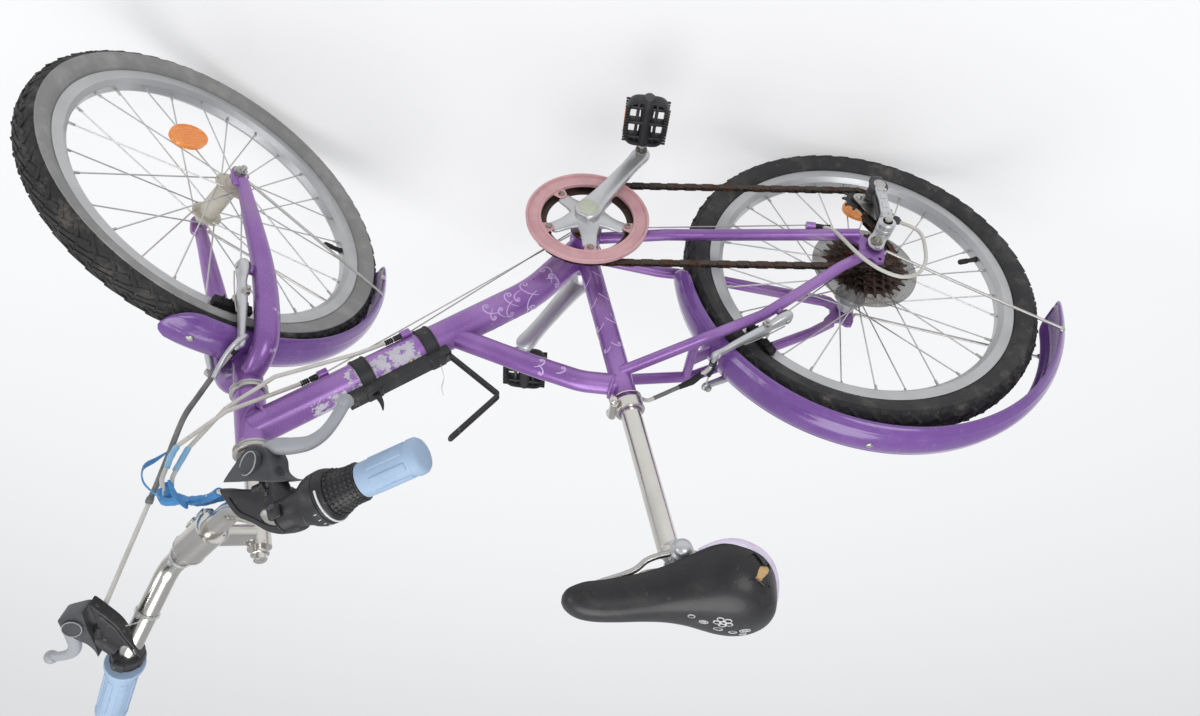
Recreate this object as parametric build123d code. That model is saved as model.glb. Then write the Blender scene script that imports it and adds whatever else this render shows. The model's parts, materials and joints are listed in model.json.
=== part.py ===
from build123d import *
from collections import namedtuple
from math import acos, atan2, cos, degrees, hypot, pi, radians, sin, sqrt
import os

os.makedirs("parts", exist_ok=True)

# A child's 20-inch bicycle, in millimetres: +X forward, +Y to the rider's left, +Z up.
# It is drawn with the rear axle's centre at zero and the steering straight ahead. The last
# lines turn the steering and move everything so that the saddle's seat point is the origin.

# Overall
wheelbase = 886.0
wheel_radius = 247.0
seat_point_x = 235.0
seat_point_z = 522.0

# Wheels
tyre_width = 46.0
rim_flange_radius = 211.0
rim_inner_radius = 192.0
rim_width = 25.0
rim_wall = 1.6
spoke_count = 28
spoke_radius = 1.0
spoke_lacing_turn = 51.43
flange_thickness = 3.0
front_flange_radius = 20.0
front_flange_offset = 30.0
front_barrel_radius = 13.0
front_hub_end_radius = 9.1
rear_flange_radius = 22.0
rear_flange_left = 36.0
rear_flange_right = 20.0
rear_barrel_radius = 15.0
rear_hub_end_radius = 13.0
protector_radius = 72.0
axle_clearance = 0.08

# Frame
bottom_bracket_x = 384.0
bottom_bracket_z = -5.0
bottom_bracket_radius = 21.0
bottom_bracket_width = 68.0
seat_angle = 74.2
seat_tube_radius = 14.3
seat_tube_length = 276.0
seat_post_radius = 12.7
seat_post_top = 462.0
head_angle = 70.4
fork_rake = 26.0
head_tube_low = 318.0
head_tube_high = 392.0
headset_height = 8.0
head_tube_radius = 18.0
steerer_radius = 12.7
down_tube_radius = 20.0
top_tube_radius = 13.5
chain_stay_radius = 8.0
seat_stay_radius = 7.2
rear_dropout_spacing = 126.0
dropout_thickness = 5.0
brake_boss_y = 46.0
brake_boss_radius = 5.0
seat_gap = 0.05
nut_height = 6.0
housing_radius = 2.5
wire_radius = 0.9
stay_wire_radius = 2.0

# Steering and controls
steering_rest_angle = 42.0
front_dropout_spacing = 100.0
stem_height = 514.0
stem_reach = 63.0
bar_radius = 11.1
bar_half_width = 280.0
bar_rise = 51.0
bar_sweep = 61.0
right_grip_length = 58.0
left_grip_length = 120.0
grip_radius = 16.5

# Drivetrain
chain_pitch = 12.7
chainring_teeth = 36
chainring_y = -48.0
engaged_cog_y = -57.0
pulley_teeth = 10
tooth_rise = 2.6
pulley_tooth_rise = 0.8
cog_teeth = [14, 16, 18, 21, 24, 28]
cog_spacing = 5.3
crank_length = 139.0
crank_angle = 242.0
crank_y = 71.0
crank_axle_radius = 8.0
pedal_y = 128.0
pedal_spindle_radius = 5.0
spider_arms = 5
spider_radius = 60.0
ring_bore = 54.0
ring_thickness = 1.8
guard_outer_radius = 82.0
guard_inner_radius = 62.0
guard_y = -56.0
guard_thickness = 3.0

# Axles
rear_axle_radius = 4.75
rear_axle_half_length = 82.0
front_axle_radius = 4.0
front_axle_half_length = 68.0

# Mudguards
rear_guard_radius = 270.0
rear_guard_shift_x = -10.0
rear_guard_shift_z = 4.0
front_guard_radius = 262.0
guard_half_width = 29.0
guard_camber = 12.0
guard_wall = 2.2

# Directions derived from the sizes above
steer_up = Vector(-cos(radians(head_angle)), 0, sin(radians(head_angle)))
steer_out = Vector(sin(radians(head_angle)), 0, cos(radians(head_angle)))
steer_foot = Vector(wheelbase, 0, 0) - steer_out * fork_rake
steering_axis = Axis(steer_foot, steer_up)
seat_up = Vector(-cos(radians(seat_angle)), 0, sin(radians(seat_angle)))
seat_out = Vector(sin(radians(seat_angle)), 0, cos(radians(seat_angle)))
bottom_bracket = Vector(bottom_bracket_x, 0, bottom_bracket_z)
front_centre = Vector(wheelbase, 0, 0)
side_y = Vector(0, 1, 0)


def on_steerer(height, out=0.0, y=0.0):
    """Point at a height along the steering axis, ahead of it and to the left of it."""
    return steer_foot + steer_up * height + steer_out * out + side_y * y


def on_seat_tube(height, out=0.0, y=0.0):
    return bottom_bracket + seat_up * height + seat_out * out + side_y * y


def rod(start, end, radius):
    start = Vector(*start)
    end = Vector(*end)
    plane = Plane(origin=start, z_dir=end - start)
    return extrude(plane * Circle(radius), amount=(end - start).length)


def pipe(start, end, radius, bore):
    start = Vector(*start)
    end = Vector(*end)
    plane = Plane(origin=start, z_dir=end - start)
    return extrude(plane * (Circle(radius) - Circle(bore)), amount=(end - start).length)


def bent_rod(points, radius, bend):
    """Round rod along a line of points whose corners are rounded to the bend radius."""
    path = FilletPolyline(*[Vector(*p) for p in points], radius=bend)
    return sweep(Plane(origin=path @ 0, z_dir=path % 0) * Circle(radius), path=path)


def tapered_rod(points, radii):
    """Round rod through points with a radius at each of them."""
    points = [Vector(*p) for p in points]
    last = len(points) - 1
    sections = []
    for i, radius in enumerate(radii):
        tangent = (points[min(i + 1, last)] - points[max(i - 1, 0)]).normalized()
        plane = Plane(origin=points[i], x_dir=side_y.cross(tangent), z_dir=tangent)
        sections.append(plane * Circle(radius))
    return loft(sections)


def plate(outline, y_near, y_far, holes=()):
    """Plate standing in a fore-and-aft plane between two y values."""
    right = min(y_near, y_far)
    left = max(y_near, y_far)
    face = make_face(Polyline(*outline, close=True))
    for x, z, radius in holes:
        face -= Pos(x, z) * Circle(radius)
    return extrude(Plane(origin=(0, left, 0), x_dir=(1, 0, 0), z_dir=(0, -1, 0)) * face, amount=left - right)


def disc(radius, y_near, y_far, bore=0.0, centre=(0, 0)):
    right = min(y_near, y_far)
    left = max(y_near, y_far)
    face = Circle(radius)
    if bore:
        face -= Circle(bore)
    plane = Plane(origin=(centre[0], left, centre[1]), x_dir=(1, 0, 0), z_dir=(0, -1, 0))
    return extrude(plane * face, amount=left - right)


def spun(profile):
    """Ring or shaft from (radius, y) points, turned about the Y axis."""
    return revolve(make_face(Polyline(*profile, close=True)), Axis.Y)


def polar(radius, angle, y=0.0):
    """Point of the XZ plane at an angle above +X, at a y."""
    return Vector(radius * cos(radians(angle)), y, radius * sin(radians(angle)))


def mirrored_pair(shape):
    return Compound(children=[*shape.solids(), *mirror(shape, about=Plane.XZ).solids()])


def group(*shapes):
    return Compound(children=[solid for shape in shapes for solid in shape.solids()])


nodes = {}

# Wheels
bead_radius = rim_flange_radius - 5.0
half_tyre = tyre_width / 2
half_rim = rim_width / 2
tyre_side = [
    (wheel_radius, 6.0),
    (wheel_radius - 7.0, 18.5),
    (wheel_radius - 17.0, half_tyre),
    (wheel_radius - 28.0, 20.5),
    (rim_flange_radius + 1.0, half_rim - rim_wall - 0.6),
    (bead_radius, half_rim - rim_wall - 0.6),
]
rim_side = [
    (rim_flange_radius, half_rim - rim_wall),
    (rim_flange_radius, half_rim),
    (rim_inner_radius + 6.0, half_rim),
    (rim_inner_radius, 6.0),
]
rim_channel = [
    (bead_radius - 2.5, 5.0),
    (bead_radius - 0.5, half_rim - rim_wall),
]


def both_sides(side):
    return side + [(radius, -y) for radius, y in reversed(side)]


def make_tyre():
    return spun(both_sides(tyre_side))


def make_rim():
    outline = rim_channel[::-1] + [(r, -y) for r, y in rim_channel]
    outline += [(r, -y) for r, y in rim_side]
    outline += rim_side[::-1]
    return spun(outline)


def make_spokes(flange_radius, flange_left, flange_right):
    """Spokes laced both ways from two flanges, leading ones outside and trailing ones inside."""
    foot_radius = flange_radius - 3.0
    inside_gap = 0.3
    outside_gap = 0.85
    spokes = []
    step = 360.0 / spoke_count
    for index in range(spoke_count):
        rim_angle = index * step
        flange = flange_left if index % 2 == 0 else -flange_right
        leading = (index // 2) % 2 == 0
        lean = spoke_lacing_turn if leading else -spoke_lacing_turn
        outward = 1 if flange > 0 else -1
        seat = flange_thickness / 2 + spoke_radius
        stand_off = seat + outside_gap if leading else -seat - inside_gap
        start = polar(foot_radius, rim_angle + lean, flange + outward * stand_off)
        end = polar(rim_inner_radius - 0.3, rim_angle, outward * 2.0)
        spokes.append(rod(start, end, spoke_radius))
    return group(*spokes)


def make_hub(flange_radius, flange_left, flange_right, barrel_radius, end_radius, half_length, axle_radius):
    half = flange_thickness / 2
    bore = axle_radius + axle_clearance
    return spun([
        (bore, -half_length),
        (end_radius, -half_length),
        (end_radius, -flange_right - half - 2.0),
        (barrel_radius, -flange_right - half),
        (flange_radius, -flange_right - half),
        (flange_radius, -flange_right + half),
        (barrel_radius, -flange_right + half),
        (barrel_radius, flange_left - half),
        (flange_radius, flange_left - half),
        (flange_radius, flange_left + half),
        (barrel_radius, flange_left + half),
        (end_radius, flange_left + half + 2.0),
        (end_radius, half_length),
        (bore, half_length),
    ])


front_wheel = {
    "front_tyre": make_tyre(),
    "front_rim": make_rim(),
    "front_spokes": make_spokes(front_flange_radius, front_flange_offset, front_flange_offset),
    "front_hub": make_hub(
        front_flange_radius,
        front_flange_offset,
        front_flange_offset,
        front_barrel_radius,
        front_hub_end_radius,
        front_dropout_spacing / 2 - 6.0,
        front_axle_radius,
    ),
}
nodes["rear_tyre"] = make_tyre()
nodes["rear_rim"] = make_rim()
nodes["rear_spokes"] = make_spokes(rear_flange_radius, rear_flange_left, rear_flange_right)
nodes["rear_hub"] = make_hub(
    rear_flange_radius,
    rear_flange_left,
    rear_flange_right,
    rear_barrel_radius,
    rear_hub_end_radius,
    rear_dropout_spacing / 2 - 5.0,
    rear_axle_radius,
)

# Freewheel, chainring and chain


def pitch_radius(teeth):
    return chain_pitch / (2 * sin(pi / teeth))


def toothed_outline(teeth, first_gap, rise):
    """Sprocket outline with a gap for a roller at first_gap and at every tooth from there."""
    radius = pitch_radius(teeth)
    corners = [
        (radius + rise, -5.7),
        (radius, -4.8),
        (radius - 4.2, -2.8),
        (radius - 4.2, 2.8),
        (radius, 4.8),
        (radius + rise, 5.7),
    ]
    outline = []
    for tooth in range(teeth):
        gap = radians(first_gap + tooth * 360.0 / teeth)
        for along, across in corners:
            outline.append((
                along * cos(gap) - across * sin(gap),
                along * sin(gap) + across * cos(gap),
            ))
    return outline


def sprocket(teeth, first_gap, y, thickness, bore, centre=(0, 0), rise=tooth_rise):
    outline = [(centre[0] + x, centre[1] + z) for x, z in toothed_outline(teeth, first_gap, rise)]
    hole = [(centre[0], centre[1], bore)]
    return plate(outline, y - thickness / 2, y + thickness / 2, hole)


# The chain's loop, in the order in which it runs. sense is +1 where the wheel is on the inside
# of the loop and -1 where it is on the outside.
guide_centre = (-18.0, -62.0)
tension_centre = (8.0, -98.0)
LoopWheel = namedtuple("LoopWheel", "name centre teeth sense y")
loop_wheels = [
    LoopWheel("chainring", (bottom_bracket_x, bottom_bracket_z), chainring_teeth, 1, chainring_y),
    LoopWheel("cog", (0.0, 0.0), cog_teeth[0], 1, engaged_cog_y),
    LoopWheel("guide", guide_centre, pulley_teeth, -1, engaged_cog_y),
    LoopWheel("tension", tension_centre, pulley_teeth, 1, engaged_cog_y),
]


def tangent_angle(first, second):
    """Angle of the normal on which the straight run leaves the first wheel for the second."""
    gap_x = second.centre[0] - first.centre[0]
    gap_z = second.centre[1] - first.centre[1]
    reach = first.sense * pitch_radius(first.teeth) - second.sense * pitch_radius(second.teeth)
    return degrees(atan2(gap_z, gap_x) - acos(reach / hypot(gap_x, gap_z)))


arcs = []
first_gaps = {}
for index, wheel in enumerate(loop_wheels):
    before = loop_wheels[index - 1]
    after = loop_wheels[(index + 1) % len(loop_wheels)]
    flip = 0 if wheel.sense > 0 else 180
    enter = tangent_angle(before, wheel) + flip
    leave = tangent_angle(wheel, after) + flip
    step = 360.0 / wheel.teeth
    travel = (wheel.sense * (leave - enter)) % 360.0
    count = int(travel // step) + 1
    first = enter + wheel.sense * (travel - (count - 1) * step) / 2
    first_gaps[wheel.name] = first
    arc = []
    for k in range(count):
        spot = polar(pitch_radius(wheel.teeth), first + wheel.sense * k * step)
        arc.append(Vector(wheel.centre[0] + spot.X, wheel.y, wheel.centre[1] + spot.Z))
    arcs.append(arc)

# Pins stand one pitch apart on the wheels and are spread evenly over the straight runs. Their
# number is even, because inner and outer links alternate.
chain_points = []
for index, arc in enumerate(arcs):
    following = arcs[(index + 1) % len(arcs)]
    chain_points += arc
    gap = following[0] - arc[-1]
    parts = max(1, round(gap.length / chain_pitch))
    last_run = index == len(arcs) - 1
    if last_run and (len(chain_points) + parts - 1) % 2:
        parts += 1
    chain_points += [arc[-1] + gap * (k / parts) for k in range(1, parts)]

link_half = chain_pitch / 2
link_end = 4.0
roller_radius = 3.5


def link_plate(y_near, y_far):
    outline = [
        (-link_half - link_end, 0),
        (-link_half - 1.2, link_end),
        (link_half + 1.2, link_end),
        (link_half + link_end, 0),
        (link_half + 1.2, -link_end),
        (-link_half - 1.2, -link_end),
    ]
    return plate(outline, y_near, y_far)


def hexagon_pin(x, radius, y_near, y_far):
    outline = [(x + radius * cos(radians(60 * k)), radius * sin(radians(60 * k))) for k in range(6)]
    return plate(outline, y_near, y_far)


inner_link = link_plate(1.5, 2.3) + link_plate(-2.3, -1.5)
for pin_x in (-link_half, link_half):
    inner_link += hexagon_pin(pin_x, roller_radius, -1.6, 1.6)
outer_link = group(link_plate(2.5, 3.3), link_plate(-3.3, -2.5))
links = []
for index, start in enumerate(chain_points):
    end = chain_points[(index + 1) % len(chain_points)]
    along = (end - start).normalized()
    place = Plane(origin=(start + end) / 2, x_dir=along, z_dir=along.cross(side_y))
    template = inner_link if index % 2 == 0 else outer_link
    links.append(Location(place) * template)
nodes["chain"] = group(*links)

freewheel_bore = rear_hub_end_radius + axle_clearance
freewheel_inner_y = engaged_cog_y + (len(cog_teeth) - 1) * cog_spacing + 2.0
freewheel = disc(17.5, engaged_cog_y - 3.0, freewheel_inner_y, freewheel_bore)
for index, teeth in enumerate(cog_teeth):
    cog_y = engaged_cog_y + index * cog_spacing
    freewheel += sprocket(teeth, first_gaps["cog"], cog_y, ring_thickness, 16.5)
nodes["freewheel"] = freewheel

pulley_bore = 3.1
pulleys = []
for name, centre in (("guide", guide_centre), ("tension", tension_centre)):
    wheel = sprocket(
        pulley_teeth,
        first_gaps[name],
        engaged_cog_y,
        ring_thickness,
        pulley_bore,
        centre,
        pulley_tooth_rise,
    )
    pulleys.append(wheel + disc(9.0, engaged_cog_y - 2.6, engaged_cog_y + 2.6, pulley_bore, centre))
nodes["derailleur_pulleys"] = group(*pulleys)

# Frame tubes
down_bend = Vector(445.0, 0, 88.0)
down_top = on_steerer(368.0)
down_path = [bottom_bracket, down_bend, down_top]
head_core = rod(on_steerer(head_tube_low - 30), on_steerer(head_tube_high + 30), head_tube_radius)
shell_core = rod(
    (bottom_bracket_x, -bottom_bracket_width / 2 - 5, bottom_bracket_z),
    (bottom_bracket_x, bottom_bracket_width / 2 + 5, bottom_bracket_z),
    bottom_bracket_radius,
)
down_line = (down_top - down_bend).normalized()
down_under = Vector(down_line.Z, 0, -down_line.X)
cable_stand_off = 4.0


def under_down_tube(along, y):
    """Point just outside the down tube's lower right side."""
    depth = sqrt((down_tube_radius + cable_stand_off) ** 2 - y * y)
    return down_bend + down_line * along + down_under * depth + side_y * y


DownStop = namedtuple("DownStop", "along y")
brake_stop = DownStop(286.0, -10.0)
gear_stop = DownStop(178.0, -17.0)
stop_half = 6.0
stop_radius = 5.2
down_tube = bent_rod(down_path, down_tube_radius, 180.0) - head_core - shell_core
tube_room = rod(down_bend, down_top, down_tube_radius + seat_gap)
down_stops = []
for stop in (brake_stop, gear_stop):
    stop_ends = [under_down_tube(stop.along + side * stop_half, stop.y) for side in (-1, 1)]
    down_stops.append(rod(*stop_ends, stop_radius) - tube_room)
nodes["down_tube"] = group(down_tube, *down_stops)
nodes["head_tube"] = pipe(
    on_steerer(head_tube_low), on_steerer(head_tube_high), head_tube_radius, steerer_radius + 2.2
)
shell_half = bottom_bracket_width / 2
shell = spun([
    (bottom_bracket_radius, -shell_half),
    (bottom_bracket_radius, shell_half),
    (crank_axle_radius + axle_clearance, shell_half),
    (crank_axle_radius + axle_clearance, shell_half - 9.0),
    (16.0, shell_half - 9.0),
    (16.0, 9.0 - shell_half),
    (crank_axle_radius + axle_clearance, 9.0 - shell_half),
    (crank_axle_radius + axle_clearance, -shell_half),
]).moved(Location(bottom_bracket))
guide_z = bottom_bracket_z - bottom_bracket_radius
cable_guide = Pos(bottom_bracket_x, -6.0, guide_z - 1.5) * Box(20.0, 22.0, 5.0)
shell_bore = rod(bottom_bracket - side_y * 30, bottom_bracket + side_y * 30, 17.0)
nodes["bottom_bracket"] = shell + (cable_guide - shell_bore)
seat_core = rod(on_seat_tube(0), on_seat_tube(seat_tube_length + 20), seat_tube_radius)
seat_bore = rod(on_seat_tube(60), on_seat_tube(seat_tube_length + 20), seat_post_radius + 0.06)
seat_tube = rod(on_seat_tube(10), on_seat_tube(seat_tube_length), seat_tube_radius)
seat_stop_height = 60.0
seat_stop_y = seat_tube_radius + housing_radius + 0.5
seat_stop = rod(
    on_seat_tube(seat_stop_height - stop_half, 0.0, seat_stop_y),
    on_seat_tube(seat_stop_height + stop_half, 0.0, seat_stop_y),
    4.2,
)
nodes["seat_tube"] = seat_tube + seat_stop - shell_core - seat_bore - down_tube
top_path = [
    on_seat_tube(236.0, 0.0),
    (372.0, 0, 222.0),
    (432.0, 0, 206.0),
    (560.0, 0, 166.0),
]
top_tube = bent_rod(top_path, top_tube_radius, 90.0) - seat_core - down_tube
nodes["top_tube"] = top_tube.solids().sort_by(SortBy.VOLUME)[-1]

dropout_y = rear_dropout_spacing / 2
stay_tuck = dropout_y + 6.5
chain_stay_path = [
    (20.0, stay_tuck, -16.0),
    (225.0, 41.0, -12.0),
    (275.0, 37.0, -9.0),
    (bottom_bracket_x - 8.0, 18.0, bottom_bracket_z),
]
seat_stay_path = [
    (20.0, stay_tuck, 24.0),
    (50.0, stay_tuck - 1.0, 46.4),
    (150.0, 43.0, 121.0),
    (228.0, 39.5, 168.0),
    on_seat_tube(221.0, 0.0, 9.0),
]
eyelet = (-4.0, 24.0)
eyelet_radius = 2.5
dropout_outline = [
    (-10, -9), (-13, 0), (-11, 22), (-8, 30), (0, 31), (8, 24), (16, 26), (24, 32), (31, 22),
    (21, 10), (21, 0), (36, -10), (30, -24), (18, -20), (8, -11),
]
dropout_far = dropout_y + dropout_thickness
dropout = plate(
    dropout_outline,
    dropout_y,
    dropout_far,
    [(0, 0, rear_axle_radius + 0.1), (*eyelet, eyelet_radius)],
)
chain_stay = bent_rod(chain_stay_path, chain_stay_radius, 60.0) - shell_core
cable_stop = Vector(84.0, -66.8, -25.8)
along_x = Vector(1, 0, 0)
stop_boss = rod(cable_stop - along_x * stop_half, cable_stop + along_x * stop_half, stop_radius)
left_side = dropout + chain_stay
nodes["chain_stays"] = group(left_side, mirror(left_side, about=Plane.XZ) + stop_boss)
seat_stay = bent_rod(seat_stay_path, seat_stay_radius, 60.0) - seat_core - dropout - chain_stay
stay_foot = Vector(20.0, 0, 24.0)
stay_slope = 35.0
brake_pivot = 142.0


def on_seat_stay(along, above, y):
    """Point over the seat stays' line: along it from the dropout and square above it."""
    rise = polar(along, stay_slope) + polar(above, stay_slope + 90.0)
    return stay_foot + rise + side_y * y


bridge_x = 236.0
bridge_z = 172.0
guard_centre = Vector(rear_guard_shift_x, 0, rear_guard_shift_z)
bridge_angle = degrees(atan2(bridge_z - guard_centre.Z, bridge_x - guard_centre.X))
bridge_reach = hypot(bridge_z - guard_centre.Z, bridge_x - guard_centre.X)
stay_bridge = rod((bridge_x, -40.0, bridge_z), (bridge_x, 40.0, bridge_z), 6.0)
bracket_line = [
    guard_centre + polar(rear_guard_radius + 0.3, bridge_angle),
    guard_centre + polar(bridge_reach, bridge_angle),
]
bracket_side = polar(1.5, bridge_angle + 90.0)
bracket_outline = [
    bracket_line[0] + bracket_side,
    bracket_line[1] + bracket_side,
    bracket_line[1] - bracket_side,
    bracket_line[0] - bracket_side,
]
guard_bracket = plate([(p.X, p.Z) for p in bracket_outline], -12.0, 12.0)
boss_near = on_seat_stay(brake_pivot, 0.0, brake_boss_y)
boss_far = on_seat_stay(brake_pivot, 28.0, brake_boss_y)
brake_boss = rod(boss_near, boss_far, brake_boss_radius)
stay_side = seat_stay + brake_boss
nodes["seat_stays"] = stay_side + mirror(stay_side, about=Plane.XZ) + stay_bridge + guard_bracket

clamp_height = 14.0
clamp_middle = seat_tube_length - clamp_height / 2
clamp_band = pipe(
    on_seat_tube(seat_tube_length - clamp_height),
    on_seat_tube(seat_tube_length),
    seat_tube_radius + 3.5,
    seat_tube_radius + seat_gap,
)
clamp_bolt = rod(on_seat_tube(clamp_middle, 20.0, -14.0), on_seat_tube(clamp_middle, 20.0, 14.0), 5.0)
nodes["seat_clamp"] = clamp_band + clamp_bolt
cup_radius = head_tube_radius + 2.0
cups = []
for cup_low in (head_tube_low - headset_height, head_tube_high):
    cup_high = cup_low + headset_height
    cups.append(pipe(on_steerer(cup_low), on_steerer(cup_high), cup_radius, steerer_radius + 0.5))
nodes["headset"] = group(*cups)
nodes["seat_post"] = rod(on_seat_tube(140), on_seat_tube(seat_post_top), seat_post_radius)
hanger_thickness = 3.0
axle_rod = rod((0, -rear_axle_half_length, 0), (0, rear_axle_half_length, 0), rear_axle_radius)
left_nut = disc(9.0, dropout_far + 0.2, dropout_far + 0.2 + nut_height)
right_nut_y = -dropout_far - hanger_thickness - 0.4
right_nut = disc(9.0, right_nut_y, right_nut_y - nut_height)
nodes["rear_axle"] = axle_rod + left_nut + right_nut

# Saddle
saddle_low = seat_point_z - 44.0
SaddleStation = namedtuple("SaddleStation", "x half_width base_z top_z")
saddle_stations = [
    SaddleStation(118.0, 34.0, saddle_low + 16.0, seat_point_z - 12.0),
    SaddleStation(135.0, 62.0, saddle_low + 8.0, seat_point_z - 4.0),
    SaddleStation(165.0, 76.0, saddle_low, seat_point_z + 0.0),
    SaddleStation(205.0, 70.0, saddle_low, seat_point_z + 1.0),
    SaddleStation(250.0, 44.0, saddle_low + 4.0, seat_point_z - 1.0),
    SaddleStation(300.0, 26.0, saddle_low + 8.0, seat_point_z - 2.0),
    SaddleStation(345.0, 20.0, saddle_low + 10.0, seat_point_z - 3.0),
    SaddleStation(366.0, 10.0, saddle_low + 16.0, seat_point_z - 12.0),
]


def saddle_section(station):
    plane = Plane(origin=(station.x, 0, station.base_z), x_dir=(0, 1, 0), z_dir=(1, 0, 0))
    height = station.top_z - station.base_z
    dome = EllipticalCenterArc((0, 0), station.half_width, height, 0, arc_size=180)
    floor_line = Line((-station.half_width, 0), (station.half_width, 0))
    return plane * make_face(Curve() + [dome, floor_line])


def base_section(station):
    """Section of the moulded base, a shallow tray just under the cover."""
    plane = Plane(origin=(station.x, 0, station.base_z - 6.5), x_dir=(0, 1, 0), z_dir=(1, 0, 0))
    half = station.half_width - 3.0
    corners = [(-half, 6.8), (-half + 4.0, 0.0), (half - 4.0, 0.0), (half, 6.8)]
    return plane * make_face(Polyline(*corners, close=True))


saddle_cover = loft([saddle_section(station) for station in saddle_stations])
nodes["saddle_cover"] = saddle_cover
rail_z = saddle_low - 12.0
rail_radius = 3.5
rail_path = [
    (345.0, 8.0, saddle_low + 8.0),
    (300.0, 14.0, rail_z),
    (200.0, 22.0, rail_z),
    (165.0, 24.0, saddle_low - 0.5),
]
saddle_rail = bent_rod(rail_path, rail_radius, 12.0)
rail_room = mirrored_pair(bent_rod(rail_path, rail_radius + seat_gap, 12.0))
nodes["saddle_rails"] = mirrored_pair(saddle_rail - saddle_cover)
saddle_base = loft([base_section(station) for station in saddle_stations]) - saddle_cover - rail_room
nodes["saddle_base"] = saddle_base.solids().sort_by(SortBy.VOLUME)[-1]
post_head = on_seat_tube(seat_post_top)
clamp_x = post_head.X - 3.0
clamp_neck = rod(post_head + Vector(0, 0, 0.2), (clamp_x, 0, rail_z - 4.0), 9.0)
clamp_bar = rod((clamp_x, -30.0, rail_z), (clamp_x, 30.0, rail_z), 9.0)
nodes["saddle_clamp"] = clamp_neck + clamp_bar - nodes["seat_post"] - rail_room

# Fork, stem and handlebar, drawn straight ahead
LegStation = namedtuple("LegStation", "height out y radius")
leg_stations = [
    LegStation(290.0, 0.0, 8.0, 14.0),
    LegStation(280.0, 0.0, 30.0, 14.5),
    LegStation(258.0, 0.0, 45.0, 15.0),
    LegStation(215.0, 0.0, 49.5, 15.0),
    LegStation(150.0, 0.5, 50.5, 14.0),
    LegStation(85.0, 5.0, 52.0, 11.5),
    LegStation(12.0, 23.0, 53.0, 8.0),
]
leg_points = [on_steerer(station.height, station.out, station.y) for station in leg_stations]
fork_leg = tapered_rod(leg_points, [station.radius for station in leg_stations])
fork_end_y = front_dropout_spacing / 2
fork_end_outline = [
    (wheelbase - 11, -8), (wheelbase - 12, 4), (wheelbase - 10, 20), (wheelbase + 2, 24),
    (wheelbase + 9, 8), (wheelbase + 11, -3), (wheelbase + 6, -11),
]
fork_end_far = fork_end_y + dropout_thickness
fork_end = plate(fork_end_outline, fork_end_y, fork_end_far, [(wheelbase, 0, front_axle_radius + 0.1)])
front_brake_pivot = 163.0
front_boss_near = on_steerer(front_brake_pivot, 6.0, brake_boss_y)
front_boss_far = on_steerer(front_brake_pivot, 31.0, brake_boss_y)
front_boss = rod(front_boss_near, front_boss_far, brake_boss_radius)
fork_side = fork_leg + fork_end + front_boss
steerer_top = head_tube_high + headset_height + 10.0
crown_top = head_tube_low - headset_height - 0.6
steerer = rod(on_steerer(285.0), on_steerer(steerer_top), steerer_radius)
crown = rod(on_steerer(272.0), on_steerer(crown_top), 17.0)
crown_foot = on_steerer(274.0)
toward_crown = (crown_foot - front_centre).normalized()
guard_tab = rod(crown_foot, front_centre + toward_crown * (front_guard_radius + 0.3), 6.0)
fork_solid = steerer + crown + guard_tab + fork_side + mirror(fork_side, about=Plane.XZ)
quill_radius = 11.1
fork_solid -= rod(on_steerer(330.0), on_steerer(steerer_top + 1.0), quill_radius + seat_gap)
lock_nut = pipe(on_steerer(steerer_top - 9.4), on_steerer(steerer_top), 17.5, steerer_radius + 0.02)
fork_group = {"fork": group(fork_solid, lock_nut)}
stem_neck = [on_steerer(340.0), on_steerer(stem_height - 14), on_steerer(stem_height - 4, stem_reach)]
stem_clamp = on_steerer(stem_height, stem_reach)
stem = bent_rod(stem_neck, quill_radius, 14.0)
stem += rod(on_steerer(stem_height - 24), on_steerer(stem_height + 2), 12.5)
stem += rod(on_steerer(stem_height + 2), on_steerer(stem_height + 9), 6.5)
stem += rod(stem_clamp - side_y * 22, stem_clamp + side_y * 22, 17.0)
stem -= rod(stem_clamp - side_y * 30, stem_clamp + side_y * 30, bar_radius + seat_gap)
fork_group["stem"] = stem
bar_side = [
    stem_clamp,
    stem_clamp + side_y * 62,
    stem_clamp + Vector(-15.0, 140.0, bar_rise),
    stem_clamp + Vector(-bar_sweep, bar_half_width, bar_rise - 8.0),
]
bar_path = [Vector(p.X, -p.Y, p.Z) for p in reversed(bar_side[1:])] + bar_side[1:]
fork_group["handlebar"] = bent_rod(bar_path, bar_radius, 38.0)
bar_line = (bar_side[3] - bar_side[2]).normalized()


def on_bar(distance, side):
    """Point of the bar at a distance in from its end; side is +1 left, -1 right."""
    spot = bar_side[3] - bar_line * distance
    return Vector(spot.X, side * spot.Y, spot.Z)


def grip(length, side):
    shell = rod(on_bar(-3.0, side), on_bar(length, side), grip_radius)
    return shell - rod(on_bar(0.0, side), on_bar(length + 5, side), bar_radius + seat_gap)


fork_group["grips"] = group(grip(right_grip_length, -1), grip(left_grip_length, 1))
shifter_low = right_grip_length + 0.3
shifter_high = right_grip_length + 56.0
shifter = rod(on_bar(shifter_low, -1), on_bar(right_grip_length + 28, -1), 17.5)
shifter += rod(on_bar(right_grip_length + 28, -1), on_bar(shifter_high, -1), 23.0)
fork_group["twist_shifter"] = shifter - rod(on_bar(50.0, -1), on_bar(170.0, -1), bar_radius + seat_gap)
front_axle_rod = rod(
    (wheelbase, -front_axle_half_length, 0), (wheelbase, front_axle_half_length, 0), front_axle_radius
)
front_nut_y = fork_end_far + 0.2
front_nut = disc(8.0, front_nut_y, front_nut_y + nut_height, 0.0, (wheelbase, 0))
fork_group["front_axle"] = front_axle_rod + front_nut + mirror(front_nut, about=Plane.XZ)

# Mudguards


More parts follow.
